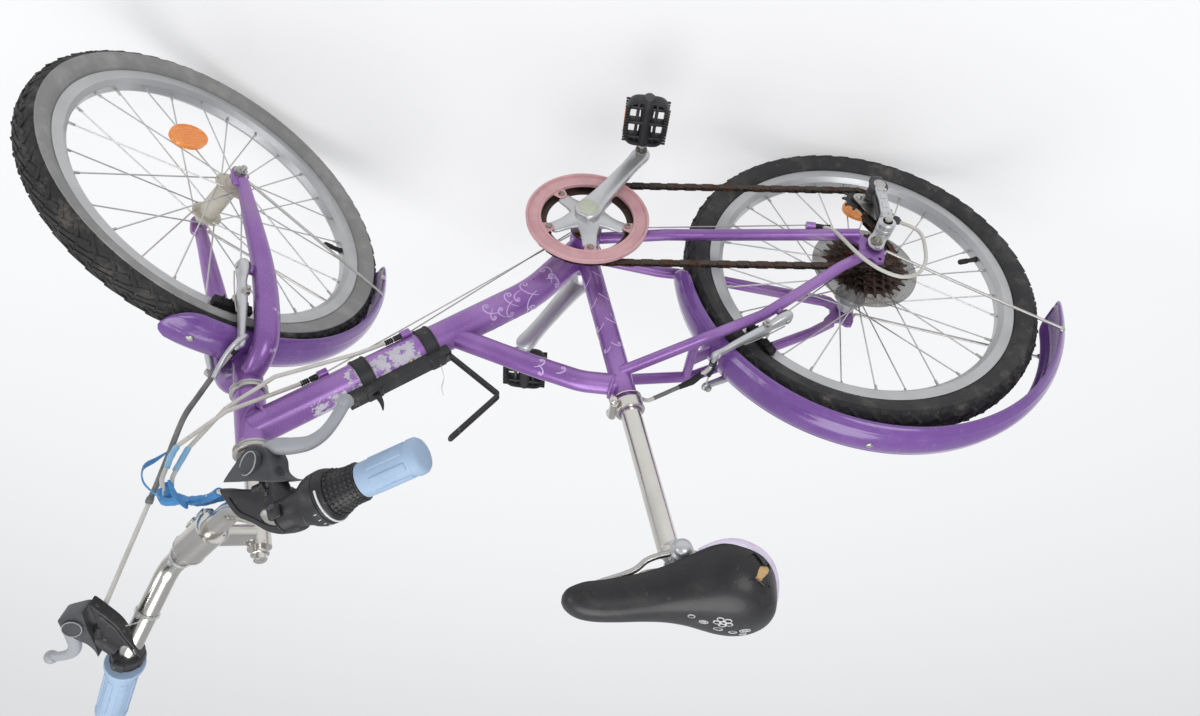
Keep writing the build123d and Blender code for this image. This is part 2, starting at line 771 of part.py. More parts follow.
def guard_profile(radius):
    outer = []
    steps = 4
    for k in range(-steps, steps + 1):
        share = k / steps
        outer.append((radius - guard_camber * share * share, guard_half_width * share))
    inner = [(r - guard_wall, y) for r, y in reversed(outer)]
    return outer + inner


def mudguard(radius, start, span):
    """Arched strip over a wheel, from a start angle above +X up and back through its span."""
    face = make_face(Polyline(*guard_profile(radius), close=True))
    return revolve(face, Axis.Y, revolution_arc=-span).rotate(Axis.Y, -start)


nodes["rear_mudguard"] = mudguard(rear_guard_radius, 5.0, 174.0).moved(Location(guard_centre))
fork_group["front_mudguard"] = mudguard(front_guard_radius, 92.0, 106.0).moved(Location(front_centre))

# Crankset and pedals
crank_centre = (bottom_bracket_x, bottom_bracket_z)
nodes["chainring"] = sprocket(
    chainring_teeth, first_gaps["chainring"], chainring_y, ring_thickness, ring_bore, crank_centre
)


def around_crank(corners, turn, y_near, y_far):
    """Plate about the crank's centre from (radius, angle) corners, turned on from the crank."""
    outline = []
    for radius, angle in corners:
        corner = bottom_bracket + polar(radius, crank_angle + turn + angle)
        outline.append((corner.X, corner.Z))
    return plate(outline, y_near, y_far)


guard_far = guard_y - guard_thickness / 2
guard_near = guard_y + guard_thickness / 2
spider_far = guard_near + 0.3
spider_near = chainring_y - ring_thickness / 2 - 0.3
arm_corners = [
    (12.0, -60.0), (26.0, -24.0), (spider_radius, -8.0), (spider_radius, 8.0), (26.0, 24.0), (12.0, 60.0),
]
tab_corners = [(50.0, -7.0), (56.0, -10.0), (65.0, -15.0), (65.0, 15.0), (56.0, 10.0), (50.0, 7.0)]
spider = rod(bottom_bracket + side_y * spider_near, bottom_bracket - side_y * (crank_y - 9.0), 20.0)
chain_guard = disc(guard_outer_radius, guard_near, guard_far, guard_inner_radius, crank_centre)
for arm in range(spider_arms):
    turn = arm * 360.0 / spider_arms
    spider += around_crank(arm_corners, turn, spider_far, spider_near)
    chain_guard += around_crank(tab_corners, turn, guard_far, guard_near)
nodes["chain_guard"] = chain_guard


def crank_arm(side):
    y = side * crank_y
    reach = polar(crank_length, crank_angle if side < 0 else crank_angle + 180.0)
    eye = bottom_bracket + reach + side_y * y
    boss = bottom_bracket + side_y * y
    arm = tapered_rod([boss, boss + reach * 0.5, eye], [12.0, 9.5, 9.0])
    arm += rod(boss - side_y * side * 9, boss + side_y * side * 6, 17.0)
    arm += rod(eye - side_y * 7, eye + side_y * 7, 12.0)
    return arm


spindle_end = pedal_y + 42.0


def pedal_spindle(side):
    reach = polar(crank_length, crank_angle if side < 0 else crank_angle + 180.0)
    eye = bottom_bracket + reach
    return rod(eye + side_y * side * crank_y, eye + side_y * side * spindle_end, pedal_spindle_radius)


axle_reach = side_y * (crank_y - 9.0)
crank_axle = rod(bottom_bracket - axle_reach, bottom_bracket + axle_reach, crank_axle_radius)
nodes["right_crank"] = crank_arm(-1) + pedal_spindle(-1) + spider - crank_axle
nodes["left_crank"] = crank_arm(1) + pedal_spindle(1) - crank_axle
nodes["bottom_bracket_axle"] = crank_axle

pedal_length = 60.0
pedal_width = 76.0
pedal_height = 22.0
tread_gap = 13.0


def pedal(side):
    """Block pedal with rounded corners and a slot fore and aft of its spindle."""
    reach = polar(crank_length, crank_angle if side < 0 else crank_angle + 180.0)
    centre = bottom_bracket + reach + side_y * side * pedal_y
    body = Pos(*centre) * Box(pedal_length, pedal_width, pedal_height)
    body = fillet(body.edges().filter_by(Axis.Z), 12.0)
    for slot_x in (-17.0, 17.0):
        slot = Pos(centre.X + slot_x, centre.Y, centre.Z) * Box(tread_gap, pedal_width - 16.0, 30.0)
        body -= slot
    return body - rod(centre - side_y * 60, centre + side_y * 60, pedal_spindle_radius + axle_clearance)


nodes["pedal_right"] = pedal(-1)
nodes["pedal_left"] = pedal(1)

# Straps and links with two round ends


def link_outline(first, first_radius, second, second_radius, steps=4):
    """Outline round two circles of the XZ plane and the straight sides between them."""
    gap_x = second[0] - first[0]
    gap_z = second[1] - first[1]
    heading = degrees(atan2(gap_z, gap_x))
    open_half = degrees(acos((first_radius - second_radius) / hypot(gap_x, gap_z)))
    outline = []
    for centre, radius, start, stop in (
        (first, first_radius, heading + open_half, heading + 360.0 - open_half),
        (second, second_radius, heading - open_half, heading + open_half),
    ):
        for k in range(steps + 1):
            spot = polar(radius, start + (stop - start) * k / steps)
            outline.append((centre[0] + spot.X, centre[1] + spot.Z))
    return outline


def strap(first, first_radius, second, second_radius, y_near, y_far, holes=()):
    outline = link_outline(first, first_radius, second, second_radius)
    return plate(outline, y_near, y_far, holes)


# Rear derailleur
hanger_bolt = (-14.0, -26.0)
cage_pivot = (-12.0, -98.0)
hanger_y = -dropout_far - 0.2
knuckle_end = -90.0
cage_outer_y = engaged_cog_y - 3.7
cage_inner_y = engaged_cog_y + 3.7
hanger_hole = [(0, 0, rear_axle_radius + 0.1)]
hanger = strap((0, 0), 11.0, hanger_bolt, 8.5, hanger_y, hanger_y - hanger_thickness, hanger_hole)
upper_knuckle = disc(9.0, hanger_y - hanger_thickness + 0.5, knuckle_end, 0.0, hanger_bolt)
lower_knuckle = disc(9.5, cage_outer_y - 2.8, knuckle_end, 0.0, cage_pivot)
outer_bar = strap(hanger_bolt, 7.0, cage_pivot, 7.5, knuckle_end + 7.0, knuckle_end - 0.5)
inner_bar = strap(hanger_bolt, 6.0, cage_pivot, 6.0, hanger_y - 5.0, hanger_y - 10.0)
barrel_foot = Vector(-19.0, -80.0, -46.0)
barrel_tip = Vector(-36.0, -80.0, -37.0)
barrel_line = (barrel_tip - barrel_foot).normalized()
barrel = rod(barrel_foot, barrel_tip, 3.6)
nodes["derailleur_body"] = hanger + upper_knuckle + lower_knuckle + outer_bar + inner_bar + barrel
cage = strap(guide_centre, 9.0, tension_centre, 8.0, cage_outer_y, cage_outer_y - 1.5)
cage += strap(guide_centre, 9.0, tension_centre, 8.0, cage_inner_y, cage_inner_y + 1.5)
cage += strap(cage_pivot, 8.5, tension_centre, 8.0, cage_outer_y - 1.0, cage_outer_y - 2.5)
for centre in (guide_centre, tension_centre):
    cage += disc(3.0, cage_outer_y - 0.5, cage_inner_y + 0.5, 0.0, centre)
nodes["derailleur_cage"] = cage

# Cables held by the frame
housing_seat = 0.3
shift_loop = [
    cable_stop - along_x * (stop_half + housing_seat),
    cable_stop - along_x * 18.0,
    (52.0, -80.0, -20.0),
    (36.0, -87.0, 8.0),
    (20.0, -87.0, 38.0),
    (-26.0, -87.0, 60.0),
    (-62.0, -86.0, 30.0),
    (-64.0, -84.0, -10.0),
    barrel_tip + barrel_line * 16.0,
    barrel_tip + barrel_line * housing_seat,
]
wire_z = guide_z - 5.3
gear_wire = [
    under_down_tube(gear_stop.along - stop_half - housing_seat, gear_stop.y),
    (bottom_bracket_x + 12.0, -9.0, wire_z),
    (bottom_bracket_x - 12.0, -12.0, wire_z),
    cable_stop + along_x * (stop_half + housing_seat),
]
nodes["shift_cable"] = group(
    bent_rod(shift_loop, housing_radius, 12.0),
    bent_rod(gear_wire, wire_radius, 6.0),
)

# Rim brakes
# point_at gives points over the seat stays or ahead of the steering axis. The pivot, pad and
# top are heights along that line, and near is how far ahead of it the arms start.
Brake = namedtuple("Brake", "point_at pivot pad top near")
rear_brake = Brake(on_seat_stay, brake_pivot, 172.0, 248.0, 18.0)
front_brake = Brake(on_steerer, front_brake_pivot, 204.0, 272.0, 21.0)
ArmSpot = namedtuple("ArmSpot", "along y radius")
arm_depth = 9.0
pad_length = 48.0
pad_height = 11.0
pad_thickness = 8.0
rim_gap = 1.5


def brake_arm(brake):
    """Left arm of a brake, from its pivot on the boss up past the pad to its cable end."""
    spots = [
        ArmSpot(brake.pivot, brake_boss_y, 8.0),
        ArmSpot(brake.pad, 40.0, 7.0),
        ArmSpot(brake.top - 14.0, 36.5, 5.5),
        ArmSpot(brake.top, 33.5, 5.5),
    ]
    foot = brake.point_at(brake.pivot, brake.near + arm_depth / 2, 0.0)
    up = brake.point_at(brake.pivot + 1.0, brake.near + arm_depth / 2, 0.0) - foot
    outline = [(spot.y + spot.radius, spot.along - brake.pivot) for spot in spots]
    outline += [(spot.y - spot.radius, spot.along - brake.pivot) for spot in reversed(spots)]
    face = make_face(Polyline(*outline, close=True))
    for spot in (spots[0], spots[-1]):
        face += Pos(spot.y, spot.along - brake.pivot) * Circle(spot.radius)
    face -= Pos(brake_boss_y, 0) * Circle(brake_boss_radius + seat_gap)
    plane = Plane(origin=foot, x_dir=side_y, z_dir=side_y.cross(up))
    return extrude(plane * face, amount=arm_depth / 2, both=True)


def brake_pad(brake):
    """Left pad, a block beside the rim on a stud from the arm."""
    depth = brake.near + arm_depth / 2
    rim_face = half_rim + rim_gap
    back = brake.point_at(brake.pad, depth - pad_length / 2, rim_face)
    front = brake.point_at(brake.pad, depth + pad_length / 2, rim_face)
    plane = Plane(origin=back, x_dir=side_y, z_dir=front - back)
    face = Pos(pad_thickness / 2, 0) * Rectangle(pad_thickness, pad_height)
    block = extrude(plane * face, amount=pad_length)
    stud_start = brake.point_at(brake.pad, depth, rim_face + pad_thickness - 0.5)
    return block + rod(stud_start, brake.point_at(brake.pad, depth, 36.0), 3.0)


rear_arm = brake_arm(rear_brake)
nodes["rear_brake_arms"] = mirrored_pair(rear_arm)
nodes["rear_brake_pads"] = mirrored_pair(brake_pad(rear_brake) - rear_arm)
front_arm = brake_arm(front_brake)
fork_group["front_brake_arms"] = mirrored_pair(front_arm)
fork_group["front_brake_pads"] = mirrored_pair(brake_pad(front_brake) - front_arm)

rear_hook = rear_brake.near + arm_depth / 2
rear_noodle = [
    on_seat_stay(rear_brake.top, rear_hook, -27.8),
    on_seat_stay(rear_brake.top + 2.0, rear_hook, -8.0),
    on_seat_stay(rear_brake.top + 30.0, rear_hook + 2.0, 2.0),
    (288.0, 8.0, 236.0),
    (318.0, 22.0, 214.0),
    on_seat_tube(150.0, 0.0, seat_stop_y + 1.0),
    on_seat_tube(seat_stop_height + stop_half + housing_seat, 0.0, seat_stop_y),
]
rear_link = rod(
    on_seat_stay(rear_brake.top, rear_hook, -8.0), on_seat_stay(rear_brake.top, rear_hook, 27.8), 1.2
)
brake_wire = [
    under_down_tube(brake_stop.along - stop_half - housing_seat, brake_stop.y),
    (bottom_bracket_x + 12.0, -3.0, wire_z),
    (bottom_bracket_x - 12.0, 0.0, wire_z),
    (bottom_bracket_x - 28.0, 4.0, bottom_bracket_z + 9.0),
    on_seat_tube(seat_stop_height - stop_half - housing_seat, 0.0, seat_stop_y),
]
nodes["rear_brake_cable"] = group(
    bent_rod(rear_noodle, housing_radius, 7.0) + rear_link,
    bent_rod(brake_wire, wire_radius, 5.0),
)

# Brake levers on the bar
# at is how far in from the bar's end a lever's clamp sits, and droop how far its perch points
# below straight ahead.
Lever = namedtuple("Lever", "side at droop")
right_lever = Lever(-1, right_grip_length + 78.0, 57.0)
left_lever = Lever(1, left_grip_length + 16.0, 8.0)
bar_solid = fork_group["handlebar"]


def by_lever(lever, inward, ahead):
    """Point near a lever: inward along the bar from its clamp and ahead of the bar."""
    return on_bar(lever.at + inward, lever.side) + polar(ahead, -lever.droop)


def perch(lever):
    """Clamp round the bar with a body out to the pivot and a barrel for the cable."""
    neck = [by_lever(lever, 0.0, 8.0), by_lever(lever, 2.0, 30.0), by_lever(lever, 4.0, 53.0)]
    body = rod(by_lever(lever, -8.0, 0.0), by_lever(lever, 8.0, 0.0), 15.0)
    body += tapered_rod(neck, [9.0, 8.0, 8.0])
    body += rod(by_lever(lever, 2.0, 34.0), by_lever(lever, 28.0, 34.0), 4.8)
    bar_room = rod(by_lever(lever, -20.0, 0.0), by_lever(lever, 20.0, 0.0), bar_radius + seat_gap)
    return body - bar_room - bar_solid


def blade(lever):
    path = [
        by_lever(lever, -4.4, 53.0),
        by_lever(lever, -22.0, 49.0),
        by_lever(lever, -45.0, 47.0),
        by_lever(lever, -80.0, 60.0),
        by_lever(lever, -100.0, 76.0),
    ]
    return tapered_rod(path, [6.0, 6.0, 5.5, 5.5, 6.5]) - perch(lever)


levers = (right_lever, left_lever)
fork_group["brake_perches"] = group(*[perch(lever) for lever in levers])
fork_group["brake_levers"] = group(*[blade(lever) for lever in levers])



def from_front(x, y, z):
    """Point ahead of, left of and above the front axle with the steering straight ahead."""
    return front_centre + Vector(x, y, z)


front_hook = front_brake.near + arm_depth / 2
front_housing = [
    by_lever(left_lever, 28.3, 34.0),
    by_lever(left_lever, 50.0, 36.0),
    from_front(-100.0, 88.0, 470.0),
    from_front(-92.0, 58.0, 418.0),
    from_front(-80.0, 20.0, 350.0),
    from_front(-86.0, -4.0, 286.0),
    on_steerer(front_brake.top, front_hook, -10.0),
    on_steerer(front_brake.top, front_hook, -27.8),
]
front_link = rod(
    on_steerer(front_brake.top, front_hook, -12.0), on_steerer(front_brake.top, front_hook, 27.8), 1.2
)
fork_group["front_brake_cable"] = bent_rod(front_housing, housing_radius, 8.0) + front_link


def turned(point):
    """Point of the straight-ahead steering after it turns to its rest angle."""
    return steer_foot + (Vector(*point) - steer_foot).rotate(steering_axis, -steering_rest_angle)


# The gear and rear brake housings loop from the right-hand controls round the front of the
# head tube to their stops on the down tube.
below_bar = Vector(-0.5, 0, -0.87)
holder_bands = [160.0, 246.0]
housing_run_in = 24.0
strap_clearance = 4.0
brake_housing = [
    turned(by_lever(right_lever, 28.3, 34.0)),
    turned(by_lever(right_lever, 44.0, 36.0)),
    from_front(-178.0, -102.0, 468.0),
    from_front(-151.0, -66.0, 460.0),
    from_front(-99.0, -32.0, 450.0),
    from_front(-83.0, -22.0, 420.0),
    from_front(-86.0, -28.0, 385.0),
    from_front(-126.0, -32.0, 336.0),
    under_down_tube(brake_stop.along + housing_run_in, brake_stop.y),
    under_down_tube(brake_stop.along + stop_half + housing_seat, brake_stop.y),
]
gear_housing = [
    turned(on_bar(shifter_high + 5.0, -1) + below_bar * 19.0),
    turned(on_bar(shifter_high + 46.0, -1) + below_bar * 24.0),
    from_front(-196.0, -72.0, 450.0),
    from_front(-141.0, -46.0, 454.0),
    from_front(-98.0, -20.0, 436.0),
    from_front(-86.0, -7.0, 410.0),
    from_front(-91.0, -10.0, 376.0),
    from_front(-122.0, -26.0, 328.0),
    from_front(-164.0, -30.0, 282.0),
    under_down_tube(holder_bands[1] - 8.0, gear_stop.y - 1.0) + down_under * strap_clearance,
    under_down_tube(gear_stop.along + housing_run_in, gear_stop.y),
    under_down_tube(gear_stop.along + stop_half + housing_seat, gear_stop.y),
]
nodes["steering_cables"] = group(
    bent_rod(brake_housing, housing_radius, 10.0),
    bent_rod(gear_housing, housing_radius, 10.0),
)

# Spoke protector, reflectors and mudguard stays
protector_y = -rear_flange_right - 5.6
nodes["spoke_protector"] = disc(protector_radius, protector_y, protector_y - 1.2, rear_hub_end_radius + 0.1)


def reflector(radius, angle, near_y):
    centre = polar(radius, angle)
    along = polar(1.0, angle + 90.0)
    plane = Plane(origin=(centre.X, near_y, centre.Z), x_dir=along, z_dir=(0, -1, 0))
    return extrude(plane * Ellipse(24.0, 15.0), amount=6.5)


nodes["rear_reflector"] = reflector(124.0, -97.0, -12.3)
front_wheel["front_reflector"] = reflector(84.0, -30.0, -24.3)

wire_y = guard_half_width + 2.4
stay_foot_y = dropout_y + dropout_thickness / 2
rear_stay_end = guard_centre + polar(rear_guard_radius - guard_camber - 1.0, 163.0) + side_y * wire_y
rear_stay_foot = (-16.0, stay_foot_y, 6.0)
rear_stay = rod(rear_stay_foot, rear_stay_end, stay_wire_radius)
rear_stay += rod(rear_stay_foot, (-11.0, stay_foot_y, 14.0), stay_wire_radius)
nodes["rear_mudguard_stays"] = mirrored_pair(rear_stay - dropout)
front_stay_end = front_centre + polar(front_guard_radius - guard_camber - 1.0, 177.0) + side_y * wire_y
front_stay_foot = (wheelbase - 14.0, fork_end_y + dropout_thickness / 2, 2.0)
front_stay = rod(front_stay_foot, front_stay_end, stay_wire_radius)
fork_group["front_mudguard_stays"] = mirrored_pair(front_stay - fork_end)

# Bottle holder on the down tube
holder_low = 142.0
holder_high = 278.0
holder_width = 18.0
holder_height = 11.0
holder_sink = 4.0
strap_half = 9.0


def over_down_tube(along, above, y=0.0):
    return down_bend + down_line * along - down_under * (down_tube_radius + above) + side_y * y


block_start = over_down_tube(holder_low, (holder_height - holder_sink) / 2)
block_plane = Plane(origin=block_start, x_dir=side_y, z_dir=down_line)
block_face = Rectangle(holder_width, holder_height + holder_sink)
holder = extrude(block_plane * block_face, amount=holder_high - holder_low)
for along in holder_bands:
    band_low = down_bend + down_line * (along - strap_half)
    band_high = down_bend + down_line * (along + strap_half)
    holder += rod(band_low, band_high, down_tube_radius + 2.2)
hoop_y = 4.0
hoop_foot = over_down_tube(holder_low + 3.0, 6.0)
hoop_corners = [(hoop_foot.X, hoop_foot.Z), (468.0, 255.0), (516.0, 323.0)]
hoop = [(x, -hoop_y, z) for x, z in hoop_corners] + [(x, hoop_y, z) for x, z in reversed(hoop_corners)]
nodes["bottle_cage"] = holder - tube_room - top_tube + bent_rod(hoop, stay_wire_radius, 3.5)

# Place and write
for name, shape in front_wheel.items():
    fork_group[name] = shape.moved(Location(front_centre))
for name, shape in fork_group.items():
    nodes[name] = shape.rotate(steering_axis, -steering_rest_angle)

to_seat_point = Location((-seat_point_x, 0, -seat_point_z))
for name, shape in nodes.items():
    placed = shape.moved(to_seat_point)
    placed.label = name
    export_step(placed, f"parts/{name}.step")
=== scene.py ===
# %% [markdown]
# # A child's 20-inch bicycle
# The packed CAD model gives every part of the bicycle at its real size and place. This lesson
# keeps those places and builds the surfaces that the eye reads: rolled mudguards, tread blocks,
# a sewn saddle, ribbed grips, rusty chain and scuffed violet paint. We begin by loading the
# model and keeping its box.

# %% Load the model
import json
import math
import random

import bmesh
import bpy
from mathutils import Matrix, Vector


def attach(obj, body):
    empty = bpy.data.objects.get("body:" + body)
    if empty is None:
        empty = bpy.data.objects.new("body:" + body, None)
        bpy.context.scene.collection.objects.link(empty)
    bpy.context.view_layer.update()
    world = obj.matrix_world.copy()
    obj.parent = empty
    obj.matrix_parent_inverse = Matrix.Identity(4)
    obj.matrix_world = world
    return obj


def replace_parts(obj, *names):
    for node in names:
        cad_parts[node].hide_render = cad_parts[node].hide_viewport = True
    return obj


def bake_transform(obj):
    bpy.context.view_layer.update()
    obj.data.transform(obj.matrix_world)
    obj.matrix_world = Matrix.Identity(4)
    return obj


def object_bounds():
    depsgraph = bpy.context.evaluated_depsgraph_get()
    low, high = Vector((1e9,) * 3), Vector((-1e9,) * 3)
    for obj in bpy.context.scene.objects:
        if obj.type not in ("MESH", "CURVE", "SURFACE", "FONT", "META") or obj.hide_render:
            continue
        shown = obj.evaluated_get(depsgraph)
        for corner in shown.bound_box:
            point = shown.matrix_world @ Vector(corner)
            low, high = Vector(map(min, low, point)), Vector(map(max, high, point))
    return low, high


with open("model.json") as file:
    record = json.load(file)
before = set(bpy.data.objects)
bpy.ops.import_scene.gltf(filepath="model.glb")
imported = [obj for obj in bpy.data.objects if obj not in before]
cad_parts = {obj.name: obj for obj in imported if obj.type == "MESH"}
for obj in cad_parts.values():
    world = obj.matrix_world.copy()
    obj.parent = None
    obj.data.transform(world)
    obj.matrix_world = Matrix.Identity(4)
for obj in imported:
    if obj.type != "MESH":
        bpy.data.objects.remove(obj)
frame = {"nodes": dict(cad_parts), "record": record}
cad_low, cad_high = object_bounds()
nodes = frame["nodes"]
print("CAD nodes:", len(nodes), "box", cad_low, cad_high)

# %% [markdown]
# ## The camera
# The photograph was taken from above the right-hand side, and the picture is upside down, so
# the camera is rolled: its upward axis points down and a little away. Its three axes and its
# place were fitted to the wheels, tubes and bars, and the lens to the width of the frame.

# %% Camera
camera_data = bpy.data.cameras.new("camera")
camera_data.sensor_width = 36
camera_data.lens = 26.615
camera_data.clip_start = 0.05
camera = bpy.data.objects.new("camera", camera_data)
picture_right = Vector((-0.99396, -0.09093, -0.06142))
picture_up = Vector((0.10389, -0.59973, -0.79343))
axes = Matrix((picture_right, picture_up, picture_right.cross(picture_up)))
camera.matrix_world = Matrix.Translation((0.15469, -0.88455, 0.33518)) @ axes.transposed().to_4x4()
bpy.context.scene.collection.objects.link(camera)
bpy.context.scene.camera = camera
print("lens in mm:", camera_data.lens)

# %% [markdown]
# ## Floor and light
# A pale floor under the tyres, a large soft lamp overhead and weaker ones from the viewer's side
# and the front. The world is white for the camera and seen through clear parts, while the
# bicycle itself gets only a dimmer, bluish light from it.

# %% Floor and lamps
MIDDLE = (0.2, 0, -0.3)


def linked(name, data):
    made = bpy.data.objects.new(name, data)
    bpy.context.scene.collection.objects.link(made)
    return made


def lamp(name, place, size, watts, target=MIDDLE):
    data = bpy.data.lights.new(name, "AREA")
    data.shape = "DISK"
    data.size = size
    data.energy = watts
    made = linked(name, data)
    made.location = place
    made.rotation_mode = "QUATERNION"
    made.rotation_quaternion = (Vector(target) - Vector(place)).to_track_quat("-Z", "Y")


floor_mesh = bmesh.new()
bmesh.ops.create_grid(floor_mesh, x_segments=1, y_segments=1, size=9)
bmesh.ops.translate(floor_mesh, vec=(0.2, 0, cad_low.z - 0.0005), verts=floor_mesh.verts)
floor_data = bpy.data.meshes.new("floor")
floor_mesh.to_mesh(floor_data)
linked("floor", floor_data)

lamp("top_lamp", (0.3, 0.3, 2.6), 2.4, 48)
lamp("side_lamp", (-0.9, -2.2, 1.4), 1.6, 22)
lamp("front_lamp", (2.4, -0.9, 1.2), 1.2, 12, (0.3, 0, -0.3))
bpy.context.scene.view_settings.view_transform = "Standard"
print("lamps:", len(bpy.data.lights))

# %% [markdown]
# ## A small language for finishes
# A shader is a web of nodes. Writing it out by hand hides the idea, so one class wraps an
# output socket and lets us add, multiply and subtract masks as if they were numbers. Another
# holds one material: its shader, the coordinates that it reads and a single method that adds
# any other node.

# %% Wires
class Wire:
    """One output socket, on which ordinary arithmetic adds Math nodes."""

    def __init__(self, finish, socket):
        self.finish = finish
        self.socket = socket

    def math(self, operation, *values):
        return self.finish.node("ShaderNodeMath", {"operation": operation}, dict(enumerate(values)))

    def __add__(self, other):
        return self.math("ADD", self, other)

    def __radd__(self, other):
        return self.math("ADD", other, self)

    def __sub__(self, other):
        return self.math("SUBTRACT", self, other)

    def __rsub__(self, other):
        return self.math("SUBTRACT", other, self)

    def __mul__(self, other):
        return self.math("MULTIPLY", self, other)

    def __rmul__(self, other):
        return self.math("MULTIPLY", other, self)

    def larger(self, other):
        return self.math("MAXIMUM", self, other)

    def smaller(self, other):
        return self.math("MINIMUM", self, other)

    def rise(self, low, high):
        """Smooth step: 0 up to low and 1 from high on."""
        inputs = {"Value": self, "From Min": low, "From Max": high}
        return self.finish.node("ShaderNodeMapRange", {"interpolation_type": "SMOOTHSTEP"}, inputs)

    def fall(self, low, high):
        return 1 - self.rise(low, high)


print("a wire has", [name for name in vars(Wire) if not name.startswith("_")])

# %% Finishes
class Finish:
    """A material with one shader, fed by patterns on the piece's own coordinates."""

    def __init__(self, name):
        self.material = bpy.data.materials.new(name)
        self.material.use_nodes = True
        self.tree = self.material.node_tree
        self.shader = self.tree.nodes["Principled BSDF"]
        self.place = self.node("ShaderNodeTexCoord", output="Object")

    def node(self, kind, settings=None, inputs=None, output=0):
        made = self.tree.nodes.new(kind)
        for key, value in (settings or {}).items():
            setattr(made, key, value)
        for key, value in (inputs or {}).items():
            self.feed(made.inputs[key], value)
        return Wire(self, made.outputs[output])

    def feed(self, socket, value):
        if isinstance(value, Wire):
            self.tree.links.new(value.socket, socket)
        else:
            socket.default_value = value

    def set(self, **values):
        """Feeds the shader: base_color stands for Base Color, and so on."""
        for key, value in values.items():
            self.feed(self.shader.inputs[key.replace("_", " ").title()], value)
        return self

    def noise(self, scale, detail=3, rough=0.55, stretch=(1, 1, 1), turn=(0, 0, 0)):
        inputs = {"Vector": self.place, "Rotation": turn, "Scale": stretch}
        vector = self.node("ShaderNodeMapping", {}, inputs)
        inputs = {"Vector": vector, "Scale": scale, "Detail": detail, "Roughness": rough}
        return self.node("ShaderNodeTexNoise", {}, inputs)

    def mix(self, mask, under, over):
        """Colour under where the mask is 0, and over where it is 1."""
        return self.node("ShaderNodeMix", {"data_type": "RGBA"}, {0: mask, 6: under, 7: over}, 2)

    def bump(self, height, distance, strength=1, **under):
        inputs = {"Height": height, "Distance": distance, "Strength": strength, **under}
        return self.node("ShaderNodeBump", {}, inputs)


print("a finish has", [name for name in vars(Finish) if not name.startswith("_")])

# %% [markdown]
# ## Pale floor and white room
# The floor has to keep its shadow and still look nearly white, so to the camera and in
# reflections it is mixed with a white glow. The room swaps its dim light for white only for
# rays that come straight from the camera or pass through a clear part.

# %% Floor and world
WHITE = (1, 1, 1, 1)
GLOW_SHARE = 0.42
pale = Finish("pale_floor").set(base_color=(0.9, 0.9, 0.9, 1), roughness=0.9)
glow = pale.node("ShaderNodeEmission", {}, {"Color": WHITE, "Strength": 1})
seen = pale.node("ShaderNodeLightPath", output="Is Camera Ray")
reflected = pale.node("ShaderNodeLightPath", output="Is Glossy Ray")
plain = Wire(pale, pale.shader.outputs[0])
share = seen.larger(reflected) * GLOW_SHARE
blend = pale.node("ShaderNodeMixShader", {}, {0: share, 1: plain, 2: glow})
pale.feed(pale.tree.nodes["Material Output"].inputs["Surface"], blend)
floor_data.materials.append(pale.material)

world = bpy.data.worlds.new("pale_room")
world.use_nodes = True
bpy.context.scene.world = world
room = world.node_tree
dim = room.nodes["Background"]
dim.inputs["Color"].default_value = (0.93, 0.95, 1, 1)
dim.inputs["Strength"].default_value = 0.55
bright = room.nodes.new("ShaderNodeBackground")
bright.inputs["Color"].default_value = WHITE
rays = room.nodes.new("ShaderNodeLightPath")
straight = room.nodes.new("ShaderNodeMath")
straight.operation = "MAXIMUM"
choose = room.nodes.new("ShaderNodeMixShader")
for source, target in (
    (rays.outputs["Is Camera Ray"], straight.inputs[0]),
    (rays.outputs["Is Transmission Ray"], straight.inputs[1]),
    (straight.outputs[0], choose.inputs[0]),
    (dim.outputs[0], choose.inputs[1]),
    (bright.outputs[0], choose.inputs[2]),
    (choose.outputs[0], room.nodes["World Output"].inputs["Surface"]),
):
    room.links.new(source, target)
print("world nodes:", len(room.nodes))

# %% [markdown]
# ## Violet paint
# The frame is sprayed with a metallic violet: tiny flakes under a clear coat. Years outdoors
# have left fine scratches, pale rubs on raised places and small chips down to brown metal.
# Flakes are a fine noise in the normal, and each kind of wear is its own mask, so that it can
# change colour, roughness and coat together.

# %% Paint
def srgb(*screen):
    """Colour from 0 to 255 as it looks on screen, to the values that a shader mixes."""
    shares = [part / 255 for part in screen]
    return (*(s / 12.92 if s < 0.04045 else ((s + 0.055) / 1.055) ** 2.4 for s in shares), 1.0)


VIOLET = srgb(132, 84, 160)
VIOLET_LIGHT = srgb(160, 114, 186)
LILAC = srgb(206, 180, 220)
PRIMER = srgb(168, 160, 172)
RUST = srgb(104, 58, 34)
RUST_DARK = srgb(58, 36, 28)
DUST = srgb(150, 140, 128)


